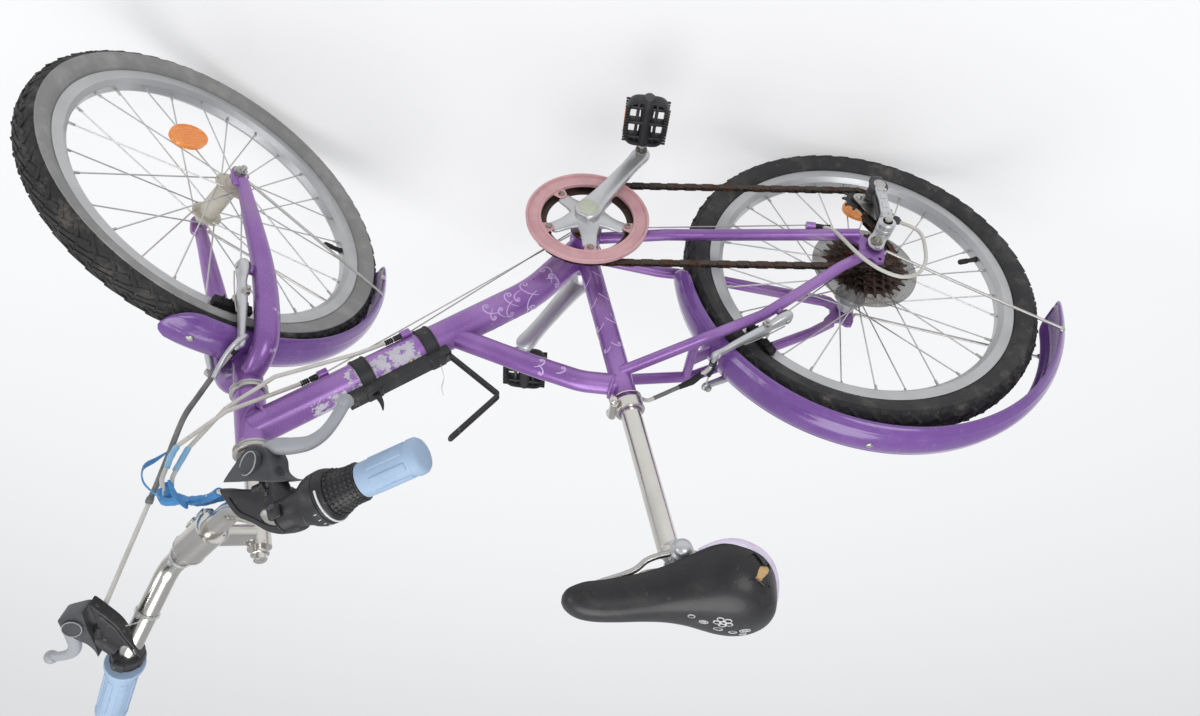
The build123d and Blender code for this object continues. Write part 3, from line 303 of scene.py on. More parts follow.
def paint(name):
    """Metallic violet paint with rubs, scratches, chips and dirt low down."""
    finish = Finish(name)
    flakes = finish.noise(1500, 1, 0.6)
    cloud = finish.noise(9, 2)
    colour = finish.mix(cloud.rise(0.35, 0.7), VIOLET, VIOLET_LIGHT)
    colour = finish.mix(flakes.rise(0.58, 0.75) * 0.5, colour, LILAC)
    rubs = finish.noise(26, 6, 0.75, (1, 1, 2.2)).rise(0.60, 0.70)
    scratches = finish.noise(55, 3, 0.6, (0.12, 1, 1), (0.3, 0.7, 0.2)).rise(0.668, 0.682)
    chips = finish.noise(85, 3, 0.6).rise(0.715, 0.728)
    height = finish.node("ShaderNodeSeparateXYZ", {}, {0: finish.place}, "Z")
    dirt = finish.noise(18, 5, 0.7).rise(0.45, 0.75) * height.fall(-0.52, -0.30)
    colour = finish.mix(rubs * 0.35, colour, PRIMER)
    colour = finish.mix(scratches * 0.7, colour, LILAC)
    colour = finish.mix(dirt * 0.45, colour, DUST)
    grime = dirt.larger(chips)
    return finish.set(
        base_color=finish.mix(chips, colour, RUST),
        roughness=0.30 + 0.25 * rubs + 0.3 * dirt + 0.45 * chips + 0.1 * cloud,
        metallic=0.45 - 0.4 * grime,
        coat_weight=0.55 - 0.5 * grime,
        normal=finish.bump(1 - chips, 0.0003, Normal=finish.bump(flakes, 0.00006, 0.35)),
    ).material


finishes = {"violet_paint": paint("violet_paint")}
print("paint nodes:", len(finishes["violet_paint"].node_tree.nodes))

# %% [markdown]
# ## Chrome, alloy, steel and rust
# Bright parts differ in how they age. Chrome stays a mirror between brown pinholes, alloy goes
# a dull grey, and bare steel such as the chain rusts all over. Each recipe starts from one
# metal and lets a rust mask take over colour, roughness and the metallic value.

# %% Metals
def metal(name, colour, rough, rust_low, rust_high, shine=1):
    """Metal whose rust mask starts at rust_low and is full at rust_high."""
    finish = Finish(name)
    spots = finish.noise(70, 8, 0.72).rise(rust_low, rust_high)
    cloud = finish.noise(20, 4, 0.6)
    fine = finish.noise(900, 2, 0.5)
    shade = finish.mix(cloud, colour, (*(0.72 * part for part in colour[:3]), 1))
    rust = finish.mix(finish.noise(240).rise(0.4, 0.62), RUST, RUST_DARK)
    return finish.set(
        base_color=finish.mix(spots, shade, rust),
        metallic=shine - 0.92 * shine * spots,
        roughness=rough + 0.12 * cloud + 0.05 * fine + 0.6 * spots,
        normal=finish.bump(fine * 0.3 + spots * finish.noise(500, 2), 0.00025, 0.5),
    ).material


# Name, colour, roughness, start and end of the rust mask, and how metallic it is if not fully.
for name, colour, *numbers in (
    ("chrome", (222, 219, 212), 0.12, 0.645, 0.69),
    ("alloy", (214, 215, 216), 0.28, 0.72, 0.78, 0.72),
    ("wheel_alloy", (204, 205, 206), 0.34, 0.72, 0.80),
    ("bright_steel", (200, 198, 194), 0.28, 0.64, 0.70),
    ("spoke_steel", (222, 222, 220), 0.30, 0.69, 0.74),
    ("rusty_steel", (92, 84, 78), 0.40, 0.46, 0.66),
    ("worn_steel", (168, 162, 154), 0.36, 0.50, 0.60),
):
    finishes[name] = metal(name, srgb(*colour), *numbers)
print("with metals:", len(finishes))

# %% [markdown]
# ## Plastic, rubber and labels
# Moulded parts share one recipe: two close colours in soft patches, a fine grain, light
# scratches and a film of dust. Clear film and the torn labels add an alpha mask to that idea.

# %% Plastics and rubbers
def moulded(name, colour, other, rough, grain=0.00008, scale=700, dust=0.2, coat=0, scuffs=0.22):
    """Moulded plastic or rubber with a fine grain, patches of the other colour and dust."""
    finish = Finish(name)
    patches = finish.noise(24, 5, 0.65).rise(0.42, 0.72)
    pits = finish.noise(scale, 2, 0.5)
    scratches = finish.noise(150, 3, 0.6, (1, 0.12, 1), (0.2, 0.1, 0.6)).rise(0.67, 0.69)
    film = finish.noise(40, 6, 0.7).rise(0.5, 0.8) * dust
    tone = finish.mix(patches, colour, other)
    return finish.set(
        base_color=finish.mix((film + scratches * scuffs).smaller(1), tone, DUST),
        roughness=rough + 0.1 * patches + 0.25 * film,
        coat_weight=coat,
        normal=finish.bump(pits - scratches * 0.4, grain, 0.8),
    ).material


# Name, colour, second colour, roughness, and what else is unlike plain plastic.
for name, colour, other, rough, *unlike in (
    ("hub_paint", (205, 200, 184), (178, 170, 150), 0.5, {"dust": 0.5}),
    ("black_plastic", (30, 30, 32), (44, 44, 46), 0.45),
    # The light grey of the lever blades is partly their own silver plastic and partly a painted
    # reflection of the sky on their glossy tops; the rings round the pivot caps use it too.
    ("silver_and_sky_sheen_plastic", (158, 160, 164), (142, 144, 148), 0.38),
    ("blue_rubber", (158, 181, 206), (150, 173, 199), 0.55, {"dust": 0.08}),
    ("guard_violet", (114, 72, 148), (126, 84, 158), 0.22,
     {"grain": 0.00002, "scale": 300, "dust": 0.12, "coat": 0.5}),
    ("pink_plastic", (212, 166, 168), (198, 150, 154), 0.36, {"dust": 0.3}),
    ("saddle_vinyl", (26, 25, 27), (36, 35, 37), 0.42,
     {"grain": 0.00022, "scale": 420, "dust": 0.1, "coat": 0.1, "scuffs": 0.07}),
    ("tyre_black", (34, 34, 35), (56, 55, 54), 0.72, {"grain": 0.0002, "scale": 500, "dust": 0.45}),
    ("pad_rubber", (24, 24, 25), (34, 34, 34), 0.7),
    ("cream_housing", (206, 203, 196), (190, 186, 174), 0.35, {"dust": 0.15}),
    ("orange_lens", (252, 156, 60), (246, 140, 48), 0.18, {"dust": 0.15, "coat": 0.6}),
    ("tyre_side_dark", (44, 44, 45), (70, 69, 67), 0.7,
     {"grain": 0.0001, "scale": 500, "dust": 0.4}),
    ("tyre_side_grey", (138, 138, 136), (160, 159, 156), 0.7,
     {"grain": 0.0001, "scale": 500, "dust": 0.4}),
    ("grey_housing", (92, 92, 92), (140, 139, 136), 0.45),
    ("foam", (206, 170, 120), (178, 140, 94), 0.9, {"grain": 0.0006, "scale": 260}),
    ("print_white", (206, 206, 204), (186, 186, 184), 0.5, {"dust": 0.15}),
    ("yellow_ink", (226, 206, 84), (210, 186, 70), 0.5, {"dust": 0.1}),
    ("dark_grey", (58, 59, 62), (74, 75, 78), 0.42),
    ("lilac_ink", (204, 180, 222), (186, 158, 208), 0.4),
    ("label_white", (216, 216, 214), (196, 196, 194), 0.5),
    ("saddle_edge", (224, 214, 231), (196, 180, 214), 0.4),
    ("crank_cap", (188, 192, 172), (166, 170, 150), 0.45, {"dust": 0.3}),
    ("blue_tape", (44, 118, 178), (70, 142, 196), 0.4,
     {"grain": 0.0004, "scale": 160, "dust": 0.15}),
    ("pale_tape", (146, 192, 222), (120, 170, 206), 0.45,
     {"grain": 0.0003, "scale": 160, "dust": 0.15}),
):
    finishes[name] = moulded(name, srgb(*colour), srgb(*other), rough, **dict(*unlike))
print("with plastics:", len(finishes))

# %% Clear films and torn labels
def see_through(name, colour, alpha):
    """A thin clear film, which shows as much of itself as alpha says, and more where dirty."""
    finish = Finish(name)
    dirt = finish.noise(60, 5, 0.7).rise(0.45, 0.75)
    return finish.set(
        base_color=finish.mix(dirt, colour, DUST),
        roughness=0.2 + 0.3 * dirt,
        alpha=(alpha + 0.3 * dirt).smaller(1),
    ).material


def peeled(name):
    """What is left of a pale label: flakes with torn edges and bare paint between them."""
    finish = Finish(name)
    torn = finish.noise(95, 7, 0.78) + 0.35 * finish.noise(22, 2)
    fibres = finish.noise(420, 3, 0.6, (0.3, 1, 1))
    return finish.set(
        base_color=finish.mix(fibres, srgb(208, 206, 212), srgb(176, 170, 184)),
        roughness=0.8,
        alpha=torn.rise(0.625, 0.64),
        normal=finish.bump(fibres, 0.0001, 0.6),
    ).material


finishes["clear_film"] = see_through("clear_film", srgb(214, 218, 220), 0.38)
finishes["smoky_clear"] = see_through("smoky_clear", srgb(96, 94, 92), 0.5)
finishes["peeled_label"] = peeled("peeled_label")
print("finishes:", len(finishes))

# %% [markdown]
# ## Carrying the CAD parts over
# A CAD node arrives as loose triangles with no shared corners, so light can't flow over it. A
# copy has its doubles merged and its flat faces joined, and is shaded smooth except at real
# edges. Where the real part has softened edges, a small bevel catches the light there.

# %% Finished pieces
BODY = {
    node: body for body, held in frame["record"]["behaviour"]["bodies"].items() for node in held
}
# The housings from the bars, which run between the head tube and the bars, get the body "cables",
# whose pieces stay fixed where they are built.
BODY["steering_cables"] = "cables"
CREASE = 38
MERGE = 0.00002


def finished(bm, name, finish, body, smooth=CREASE, bevel=0):
    """Turns a bmesh into a piece that rides on a body, and empties the bmesh."""
    data = bpy.data.meshes.new(name)
    for face in bm.faces:
        face.smooth = True
    for edge in bm.edges:
        if len(edge.link_faces) == 2 and edge.calc_face_angle() > math.radians(smooth):
            edge.smooth = False
    bm.to_mesh(data)
    bm.clear()
    data.materials.append(finishes[finish])
    made = linked(name, data)
    if bevel:
        soften = made.modifiers.new("soften", "BEVEL")
        soften.width = bevel
        soften.segments = 2
        soften.limit_method = "ANGLE"
        soften.angle_limit = math.radians(smooth)
        soften.harden_normals = True
    if body == "cables":
        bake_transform(made)
    else:
        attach(made, body)
    return made


print("bodies:", len(set(BODY.values())))

# %% Refined copies
def refined(node, finish, bevel=0):
    """A merged copy of a CAD node, softly shaded, that stands for the node."""
    bm = bmesh.new()
    bm.from_mesh(nodes[node].data)
    bmesh.ops.remove_doubles(bm, verts=bm.verts, dist=MERGE)
    bmesh.ops.dissolve_limit(
        bm, angle_limit=math.radians(0.6), verts=bm.verts, edges=bm.edges, delimit={"NORMAL"}
    )
    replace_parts(finished(bm, node + "_skin", finish, BODY[node], bevel=bevel), node)


# Node, finish and, where its edges are softened, the bevel in metres.
CARRIED = [
    ("down_tube", "violet_paint"), ("top_tube", "violet_paint"), ("seat_tube", "violet_paint"),
    ("head_tube", "violet_paint", 0.0004), ("bottom_bracket", "violet_paint", 0.0005),
    ("chain_stays", "violet_paint"), ("seat_stays", "violet_paint"),
    ("seat_post", "chrome", 0.0004), ("stem", "chrome"), ("handlebar", "chrome"),
    ("seat_clamp", "chrome", 0.0005), ("front_mudguard_stays", "bright_steel"),
    ("rear_mudguard_stays", "bright_steel"), ("brake_perches", "black_plastic"),
    ("derailleur_pulleys", "black_plastic"), ("bottle_cage", "black_plastic", 0.0006),
    ("rear_brake_pads", "pad_rubber", 0.0008), ("front_brake_pads", "pad_rubber", 0.0008),
    ("rear_rim", "wheel_alloy", 0.0004), ("front_rim", "wheel_alloy", 0.0004),
    ("rear_spokes", "spoke_steel"), ("front_spokes", "spoke_steel"),
    ("rear_hub", "alloy", 0.0004), ("front_hub", "hub_paint", 0.0004),
    ("chain", "rusty_steel"), ("freewheel", "rusty_steel"), ("chainring", "rusty_steel"),
    ("bottom_bracket_axle", "rusty_steel"), ("derailleur_cage", "bright_steel", 0.0003),
    ("spoke_protector", "smoky_clear"), ("front_brake_cable", "cream_housing"),
    ("rear_brake_cable", "cream_housing"), ("steering_cables", "cream_housing"),
]
for row in CARRIED:
    refined(*row)
print("carried over:", len(CARRIED))

# %% [markdown]
# ## Working in the bicycle's own millimetres
# A wheel is easiest to build round its axle, and a handlebar straight ahead. So new pieces are
# made in millimetres in such a place, and one matrix per place carries them to where the model
# has them. The steering one also turns them to the angle at which the bars stand. One bmesh is
# the workbench: every shape is added to it, and a finished piece takes all that lies there.

# %% Places
# Millimetres and degrees from the rear axle: the wheelbase, the crank's axle, how steeply the
# head tube and the seat tube stand, and how far the bars are turned to the right.
WHEELBASE = 886
CRANK = Vector((384, 0, -5))
HEAD_ANGLE, SEAT_ANGLE = 70.4, 74.2
BAR_TURN = -42
AXLE = Vector((WHEELBASE, 0, 0))
LEFT = Vector((0, 1, 0))
shift = Matrix.Translation


def leaning(degrees):
    """Directions up along a tube that leans back, and square to it, ahead."""
    tilt = math.radians(degrees)
    up = Vector((-math.cos(tilt), 0, math.sin(tilt)))
    return up, Vector((math.sin(tilt), 0, math.cos(tilt)))


STEER_UP, STEER_OUT = leaning(HEAD_ANGLE)
SEAT_UP, SEAT_OUT = leaning(SEAT_ANGLE)
STEER_FOOT = AXLE - STEER_OUT * 26
# From these millimetres to the packed model's metres, which start near the bicycle's middle.
FRAME = Matrix.Scale(0.001, 4) @ shift((-235, 0, -522))
TURNED = Matrix.Rotation(math.radians(BAR_TURN), 4, STEER_UP)
STEERED = FRAME @ shift(STEER_FOOT) @ TURNED @ shift(-STEER_FOOT)
WHEELS = {"rear": FRAME, "front": STEERED @ shift(AXLE)}
PLACES = {"steering": STEERED, "front_wheel": WHEELS["front"]}
bench = bmesh.new()
print("steering foot", STEER_FOOT)

# %% Points and directions
def on_steerer(height, out=0, y=0):
    return STEER_FOOT + STEER_UP * height + STEER_OUT * out + LEFT * y


def on_seat_tube(height, out=0, y=0):
    return CRANK + SEAT_UP * height + SEAT_OUT * out + LEFT * y


def polar(radius, angle, y=0):
    """Point round a wheel's axle, at an angle above straight ahead."""
    turn = math.radians(angle)
    return Vector((radius * math.cos(turn), y, radius * math.sin(turn)))


def aimed(start, ahead, side=(0, 1, 0)):
    """Matrix whose Z runs from start along ahead, with X as close to side as that allows."""
    z = Vector(ahead).normalized()
    x = Vector(side) - z * z.dot(Vector(side))
    if x.length < 0.02:
        x = Vector((1, 0, 0)) - z * z.x
    x.normalize()
    return shift(start) @ Matrix((x, z.cross(x), z)).transposed().to_4x4()


def sideways(start, side):
    """The same with Z to the left where side is 1, or to the right where it is -1."""
    return aimed(start, (0, side, 0), (1, 0, 0))


def dialled(place, k, count):
    """The place turned by k steps of count round its own Z axis."""
    return place @ Matrix.Rotation(2 * math.pi * k / count, 4, "Z")


def hoop(steps, wide, long, first=0):
    """Points (x, y) once round an ellipse, the first one again at the end."""
    turns = [2 * math.pi * k / steps + first for k in range(steps + 1)]
    return [(wide * math.cos(turn), long * math.sin(turn)) for turn in turns]


print("seat tube's top at", on_seat_tube(276))

# %% [markdown]
# ## Makers of shapes
# Most of the bicycle is bars, tubes and turned parts. All of these are one section carried
# through a row of frames, so one sweep serves them, with a lathe and a bent rod as special
# cases. Flat castings are extruded outlines, and blocks and bolt heads repeat everywhere.

# %% Sweeps and lathes
def power(value, exponent):
    return math.copysign(abs(value) ** exponent, value)


def corner(spot):
    return bmesh.ops.create_vert(bench, co=spot)["vert"][0]


def edges_at(verts):
    """Every edge at these corners once, in the same order on each run."""
    return list(dict.fromkeys(edge for vert in verts for edge in vert.link_edges))


def swept(frames, sides=16, square=1):
    """A unit circle carried through the frames and closed. square under 1 makes it squarer."""
    ring = bmesh.ops.create_circle(bench, segments=sides, radius=1)["verts"]
    for vert in ring:
        vert.co = Vector((power(vert.co.x, square), power(vert.co.y, square), 0))
    bmesh.ops.transform(bench, matrix=frames[0], verts=ring)
    ends = edges = edges_at(ring)
    for before, after in zip(frames, frames[1:]):
        grown = bmesh.ops.extrude_edge_only(bench, edges=edges)["geom"]
        ring = [part for part in grown if isinstance(part, bmesh.types.BMVert)]
        edges = [
            part for part in grown
            if isinstance(part, bmesh.types.BMEdge) and set(part.verts) <= set(ring)
        ]
        bmesh.ops.transform(bench, matrix=after @ before.inverted(), verts=ring)
    bmesh.ops.holes_fill(bench, edges=ends + edges, sides=0)


def lathed(place, profile, sides=28):
    """A turned piece: (height, radius) steps along the place's Z axis."""
    swept([place @ shift((0, 0, h)) @ Matrix.Diagonal((r, r, 1, 1)) for h, r in profile], sides)


def smooth_line(points, steps=6):
    """A curve through points. A fourth number in a point, its radius, is smoothed too."""
    points = [Vector(point) for point in points]
    line = []
    for i in range(len(points) - 1):
        a, b, c, d = (points[min(max(i + k, 0), len(points) - 1)] for k in (-1, 0, 1, 2))
        for k in range(steps):
            t = k / steps
            line.append(
                b + (c - a) * (0.5 * t) + (a * 2 - b * 5 + c * 4 - d) * (0.5 * t * t)
                + (b * 3 - a - c * 3 + d) * (0.5 * t ** 3)
            )
    return line + [points[-1]]


print("a smooth line of", len(smooth_line([(0, 0, 0), (1, 0, 0), (1, 1, 0)])), "points")

# %% Curves, castings and rods
def closed_line(points, steps=6):
    """The same curve through points, run round to the first one again."""
    line = smooth_line(points[-2:] + points + points[:2], steps)
    return line[2 * steps:(2 + len(points)) * steps]


def plate(outline, thickness, edge, segments=2):
    """A face through the outline, extruded by the thickness vector and rounded at its rims."""
    near = [corner(spot) for spot in outline]
    face = bench.faces.new(near)
    grown = bmesh.ops.extrude_face_region(bench, geom=[face], use_keep_orig=True)["geom"]
    far = [part for part in grown if isinstance(part, bmesh.types.BMVert)]
    bmesh.ops.translate(bench, vec=thickness, verts=far)
    rims = [
        edge for ring in (near, far) for edge in edges_at(ring) if set(edge.verts) <= set(ring)
    ]
    bmesh.ops.bevel(
        bench, geom=rims, offset=edge, segments=segments, profile=0.5, affect="EDGES",
        material=-1, clamp_overlap=True,
    )


def along(line, radius=None, flat=1, side=LEFT):
    """Frames for a sweep along a line. flat thins the section square to side."""
    frames = []
    x = Vector(side)
    last = len(line) - 1
    for i, spot in enumerate(line):
        z = (Vector(line[min(i + 1, last)][:3]) - Vector(line[max(i - 1, 0)][:3])).normalized()
        x = (x - z * x.dot(z)).normalized()
        r = radius or spot[3]
        turn = Matrix((x, z.cross(x), z)).transposed().to_4x4()
        frames.append(shift(spot[:3]) @ turn @ Matrix.Diagonal((r, r * flat, 1, 1)))
    return frames


def bent(points, radius=None, sides=12, flat=1, steps=6, side=LEFT):
    """A rod bent through points, each with its own radius unless one is given."""
    swept(along(smooth_line(points, steps), radius, flat, side), sides)


print("a closed triangle has", len(closed_line([(0, 0, 0), (1, 0, 0), (0, 1, 0)])), "points")

# %% Blocks, rings and bolt heads
def block(place, size, edge=0, segments=2):
    """A box of a size, centred on the place, with edges rounded by edge."""
    scaled = place @ Matrix.Diagonal((*size, 1))
    corners = bmesh.ops.create_cube(bench, size=1, matrix=scaled)["verts"]
    if edge:
        bmesh.ops.bevel(
            bench, geom=edges_at(corners), offset=edge, segments=segments, profile=0.5,
            affect="EDGES", material=-1,
        )


def knurled(place, count, out, size, edge):
    """Blocks all round the place's Z axis, out as (radius, 0, height)."""
    for k in range(count):
        block(dialled(place, k, count) @ shift(out), size, edge, 1)


def around(count):
    """Repeats all that lies on the bench count times round a wheel's axle."""
    bmesh.ops.spin(
        bench, geom=bench.verts[:] + bench.edges[:] + bench.faces[:], cent=(0, 0, 0), axis=LEFT,
        angle=math.radians(360 / count * (count - 1)), steps=count - 1, use_duplicate=True,
    )


def spun(profile, steps):
    """A closed ring from (radius, y) points, spun once about the wheel's axle."""
    ring = [corner((r, y, 0)) for r, y in profile]
    edges = [bench.edges.new(pair) for pair in zip(ring, ring[1:] + ring[:1])]
    bmesh.ops.spin(
        bench, geom=ring + edges, cent=(0, 0, 0), axis=LEFT, angle=math.radians(360),
        steps=steps, use_merge=True,
    )


def hex_bolt(place, across, height):
    """A six-sided head with a domed top, on a thin washer."""
    r = across / 2
    lathed(place, [(-0.9, r * 1.3), (0, r * 1.3)], 24)
    lathed(place, [(0, r), (height * 0.8, r), (height, r * 0.86)], 6)


def button_bolt(place, radius, height):
    """A round head with a hexagonal socket."""
    dome = [(0, 1), (0.45, 1), (0.85, 0.8), (1, 0.55)]
    lathed(place, [(height * up, radius * out) for up, out in dome], 20)
    lathed(place, [(height - 1.2, radius * 0.36), (height + 0.15, radius * 0.36)], 6)


print("bench still empty:", not bench.verts)

# %% From the bench to the bicycle
def piece(name, finish, smooth=CREASE, body="frame", stands_for=(), place=None):
    """Takes what lies on the bench to its place, closes its skin and hands it to a body."""
    bmesh.ops.transform(bench, matrix=place or PLACES.get(body, FRAME), verts=bench.verts)
    bmesh.ops.remove_doubles(bench, verts=bench.verts, dist=0.000002)
    bmesh.ops.recalc_face_normals(bench, faces=bench.faces)
    made = finished(bench, name, finish, body, smooth)
    if stands_for:
        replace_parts(made, stands_for)
    return made


def shell(name, finish, smooth, cells, surface, heart, body="frame", place=FRAME):
    """A grid laid on surface(u, v), with u and v from -1 to 1, facing away from its heart."""
    across, down = cells
    grid = bmesh.ops.create_grid(bench, x_segments=across, y_segments=down, size=1)["verts"]
    for vert in grid:
        vert.co = surface(vert.co.x, vert.co.y)
    bmesh.ops.transform(bench, matrix=place, verts=bench.verts)
    bmesh.ops.recalc_face_normals(bench, faces=bench.faces)
    heart = place @ Vector(heart)
    probe = max(bench.faces, key=lambda face: (face.calc_center_median() - heart).length)
    if probe.normal.dot(probe.calc_center_median() - heart) < 0:
        bmesh.ops.reverse_faces(bench, faces=bench.faces)
    return finished(bench, name, finish, body, smooth)


print("bodies with their own place:", list(PLACES))

# %% [markdown]
# ## Fork
# A child's fork is pressed from two tapered tubes that bow out over the tyre and sweep forward
# near the axle, so that the wheel trails the steering line. Each leg is one circle swept along
# a curve through measured stations, its radius shrinking towards the flat ends that grip the
# axle.

# %% Fork
# Height up the steering line, distance ahead of it, distance from the middle, and radius.
FORK_LEG = [
    (290, 0, 8, 14), (280, 0, 30, 14.5), (258, 0, 45, 15), (215, 0, 49.5, 15),
    (180, 0.4, 50.2, 14.4), (150, 2.2, 50.8, 13.6), (118, 6, 51.4, 12.6), (85, 11, 52, 11.4),
    (50, 16.4, 52.6, 9.8), (22, 20.8, 53, 8.6), (12, 22.6, 53, 8), (8.5, 23.2, 53, 5),
]
FORK_END = [(-11, -8), (-12, 4), (-10, 20), (2, 24), (9, 8), (11, -3), (6, -11)]
FRONT_PIVOT = 163
for side in (1, -1):
    bent([(*on_steerer(h, out, side * y), r) for h, out, y, r in FORK_LEG], None, 32, 1, 5)
    plate(closed_line([(WHEELBASE + x, side * 50, z) for x, z in FORK_END], 5), LEFT * side * 5, 1)
    boss = aimed(on_steerer(FRONT_PIVOT, 6, side * 46), STEER_OUT)
    lathed(boss, [(0, 5), (1, 6.4), (12, 6), (14, 5), (25, 5)], 24)
crown = [(0, 11), (1.4, 15), (4, 17), (34, 17.2), (38, 18.4), (39.4, 18)]
lathed(aimed(on_steerer(270), STEER_UP), crown, 36)
lathed(aimed(on_steerer(300), STEER_UP), [(0, 12.7), (110, 12.7)], 28)
crown_foot = on_steerer(274)
mudguard_tab = (AXLE - crown_foot).length - 262.3
lathed(aimed(crown_foot, AXLE - crown_foot), [(0, 6), (mudguard_tab, 6)], 20)
piece("fork_legs", "violet_paint", 50, "steering", "fork")
print("fork crown at", crown_foot)

# %% [markdown]
# ## Tyres
# A tyre is a ring with a rounded section, standing a little proud of its rim. It could be a
# torus, but the flat tread and the slanting sidewalls matter, so a real section is spun. The
# tread is then a set of rubber lugs for one pitch, carried round the wheel in one spin.

# %% Casing and tread
CASING = [
    (206.5, 10.8), (211.6, 11.3), (212.6, 13.6), (214.2, 16), (215.2, 16.4), (216, 17.8),
    (220.5, 20.6), (226, 22.2), (230.5, 22.4), (231.2, 22.9), (232.6, 22.9), (233.3, 22),
    (236.5, 19.8), (239.6, 16.2), (242, 11), (243.4, 5.5), (243.8, 0),
]
BEAD = [(206.5, -9), (206.5, 9)]
SIDEWALL_RADIUS = 233
# One pitch of tread, in pairs of lugs: radius, distance from the middle, lean of the surface
# there, turns on the surface at the left and right, length, width, height, and 1 for a pair
# that comes half a pitch later.
LUGS = [
    (244, 3.2, 5, (16, 16), 24.6, 4.8, 1.2, 0), (242.6, 9.6, 19, (-24, 24), 23, 5, 1.2, 1),
    (239.9, 15.4, 42, (34, -34), 21, 4.6, 1.1, 0), (236.2, 19.8, 60, (78, -78), 6, 13, 0.8, 1),
]
PITCHES = 58
for end, side_finish in (("rear", "tyre_side_dark"), ("front", "tyre_side_grey")):
    wheel = WHEELS[end]
    spun(CASING + [(r, -y) for r, y in CASING[-2::-1]] + BEAD, 160)
    bmesh.ops.transform(bench, matrix=wheel, verts=bench.verts)
    bmesh.ops.recalc_face_normals(bench, faces=bench.faces)
    made = finished(bench, end + "_casing", "tyre_black", end + "_wheel", 50)
    made.data.materials.append(finishes[side_finish])
    back = wheel.inverted()
    for face in made.data.polygons:
        spot = back @ face.center
        face.material_index = int(math.hypot(spot.x, spot.z) < SIDEWALL_RADIUS)
    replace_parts(made, end + "_tyre")
    for radius, y, lean, turns, length, width, height, late in LUGS:
        angle = late * 180 / PITCHES
        for side, turn in zip((1, -1), turns):
            place = shift(polar(radius, angle, side * y))
            for degrees, axis in ((-angle, "Y"), (side * lean, "Z"), (turn, "X")):
                place = place @ Matrix.Rotation(math.radians(degrees), 4, axis)
            block(place, (height * 2, width, length), min(1.3, height * 0.8))
    around(PITCHES)
    piece(end + "_tread", "tyre_black", body=end + "_wheel")
print("lugs on a tyre:", 2 * len(LUGS) * PITCHES)

# %% [markdown]
# ## Rim fittings
# Every spoke ends in a nipple that stands out of the rim, and the valve looks through it at one
# place. A threaded axle has a washer and a six-sided nut at each end. They are small, but a
# wheel without them looks like a plain hoop.

# %% Nipples, valves and nuts
SPOKES = 28


def axle(end, body, finish, radius, half, seats, across):
    """A threaded axle, half as long to each side, with nuts that start at the seats."""
    for side, seat in zip((1, -1), seats):
        threads = [(0, radius - 0.5)]
        height = seat + 5
        while height < half - 1:
            threads += [(height, radius - 0.45), (height + 0.5, radius), (height + 0.9, radius)]
            height += 1.4
        way = sideways((0, 0, 0), side)
        lathed(way, threads + [(half - 0.6, radius - 0.2), (half, radius - 0.9)], 20)
        lathed(way, [(seat, across * 0.66), (seat + 1.2, across * 0.66)])
        nut = [(1.2, 0.5), (6.2, 0.54), (7.2, 0.46)]
        lathed(way, [(seat + up, across * out) for up, out in nut], 6)
    piece(end + "_axle_nuts", finish, 30, body, end + "_axle", WHEELS[end])


for end in WHEELS:
    for side in (1, -1):
        root = polar(194, 0 if side > 0 else 360 / SPOKES, side * 2.2)
        place = aimed(root, -root.normalized() + Vector((0, side * 0.13, 0)))
        lathed(place, [(0, 3), (1.2, 3), (2, 2), (10, 1.7), (11, 1.2)], 10)
    around(SPOKES // 2)
    piece(end + "_nipples", "bright_steel", body=end + "_wheel")
    root = polar(193, 200)
    stem = [(0, 4.4), (2, 4.4), (2.2, 3.6), (16, 3.2), (16.2, 4), (27, 4), (29, 3.2)]
    lathed(aimed(root, -root), stem, 14)
    piece(end + "_valve", "pad_rubber", body=end + "_wheel")
axle("rear", "frame", "worn_steel", 4.75, 82, (68.2, 71.4), 15.6)
axle("front", "steering", "bright_steel", 4, 68, (55.2, 55.2), 14.6)
print("wheels done")

# %% [markdown]
# ## Mudguards
# A mudguard is a thin arched strip with a rolled rim and rounded ends. A plain grid is laid on
# the arch by a function, so that its width can run out to nothing at the ends in a smooth
# curve, and the Solidify modifier gives it the thickness of the plastic.

# %% Arched strips
def mudguard(end, body, place, radius, start, span, taper):
    """A strip over the wheel from a start angle on, with ends that taper over some degrees."""
    def arch(u, v):
        share = (u + 1) / 2
        close = min(share, 1 - share) * span / taper
        run_out = math.sqrt(max(0, 1 - (1 - min(close, 1)) ** 2))
        s = v * max(run_out, 0.12)
        drop = 12 * s * s + 2.6 * max(0, abs(v) - 0.9) / 0.1
        ridge = 0.9 * math.exp(-((abs(s) - 0.66) / 0.06) ** 2)
        return polar(radius - drop + ridge, start + span * share, 29 * s)

    name = end + "_guard_skin"
    made = shell(name, "guard_violet", 60, (150, 34), arch, (0, 0, 0), body, place)
    wall = made.modifiers.new("wall", "SOLIDIFY")
    wall.thickness = 0.0021
    wall.offset = -1
    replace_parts(made, end + "_mudguard")


HUNG = shift((-10, 0, 4))
REAR_GUARD = FRAME @ HUNG
mudguard("rear", "frame", REAR_GUARD, 270, 5, 174, 7)
mudguard("front", "steering", WHEELS["front"], 262, 92, 106, 9)
for end, body, place, radius, spots in (
    ("rear", "frame", REAR_GUARD, 269.6, (38, 84)),
    ("front", "steering", WHEELS["front"], 261.6, (100,)),
):
    for spot in spots:
        button_bolt(aimed(polar(radius, spot), polar(1, spot)), 4.6, 2.6)
    piece(end + "_guard_bolts", "bright_steel", body=body, place=place)
for end, body, radius, spot, hub in (
    ("rear", "frame", 256, 163, HUNG), ("front", "steering", 244, 186, shift((0, 0, 0))),
):
    for side in (1, -1):
        button_bolt(hub @ sideways(polar(radius, spot, side * 29.5), side), 4.2, 3.4)
    piece(end + "_stay_bolts", "bright_steel", body=body, place=WHEELS[end])
print("guards done")

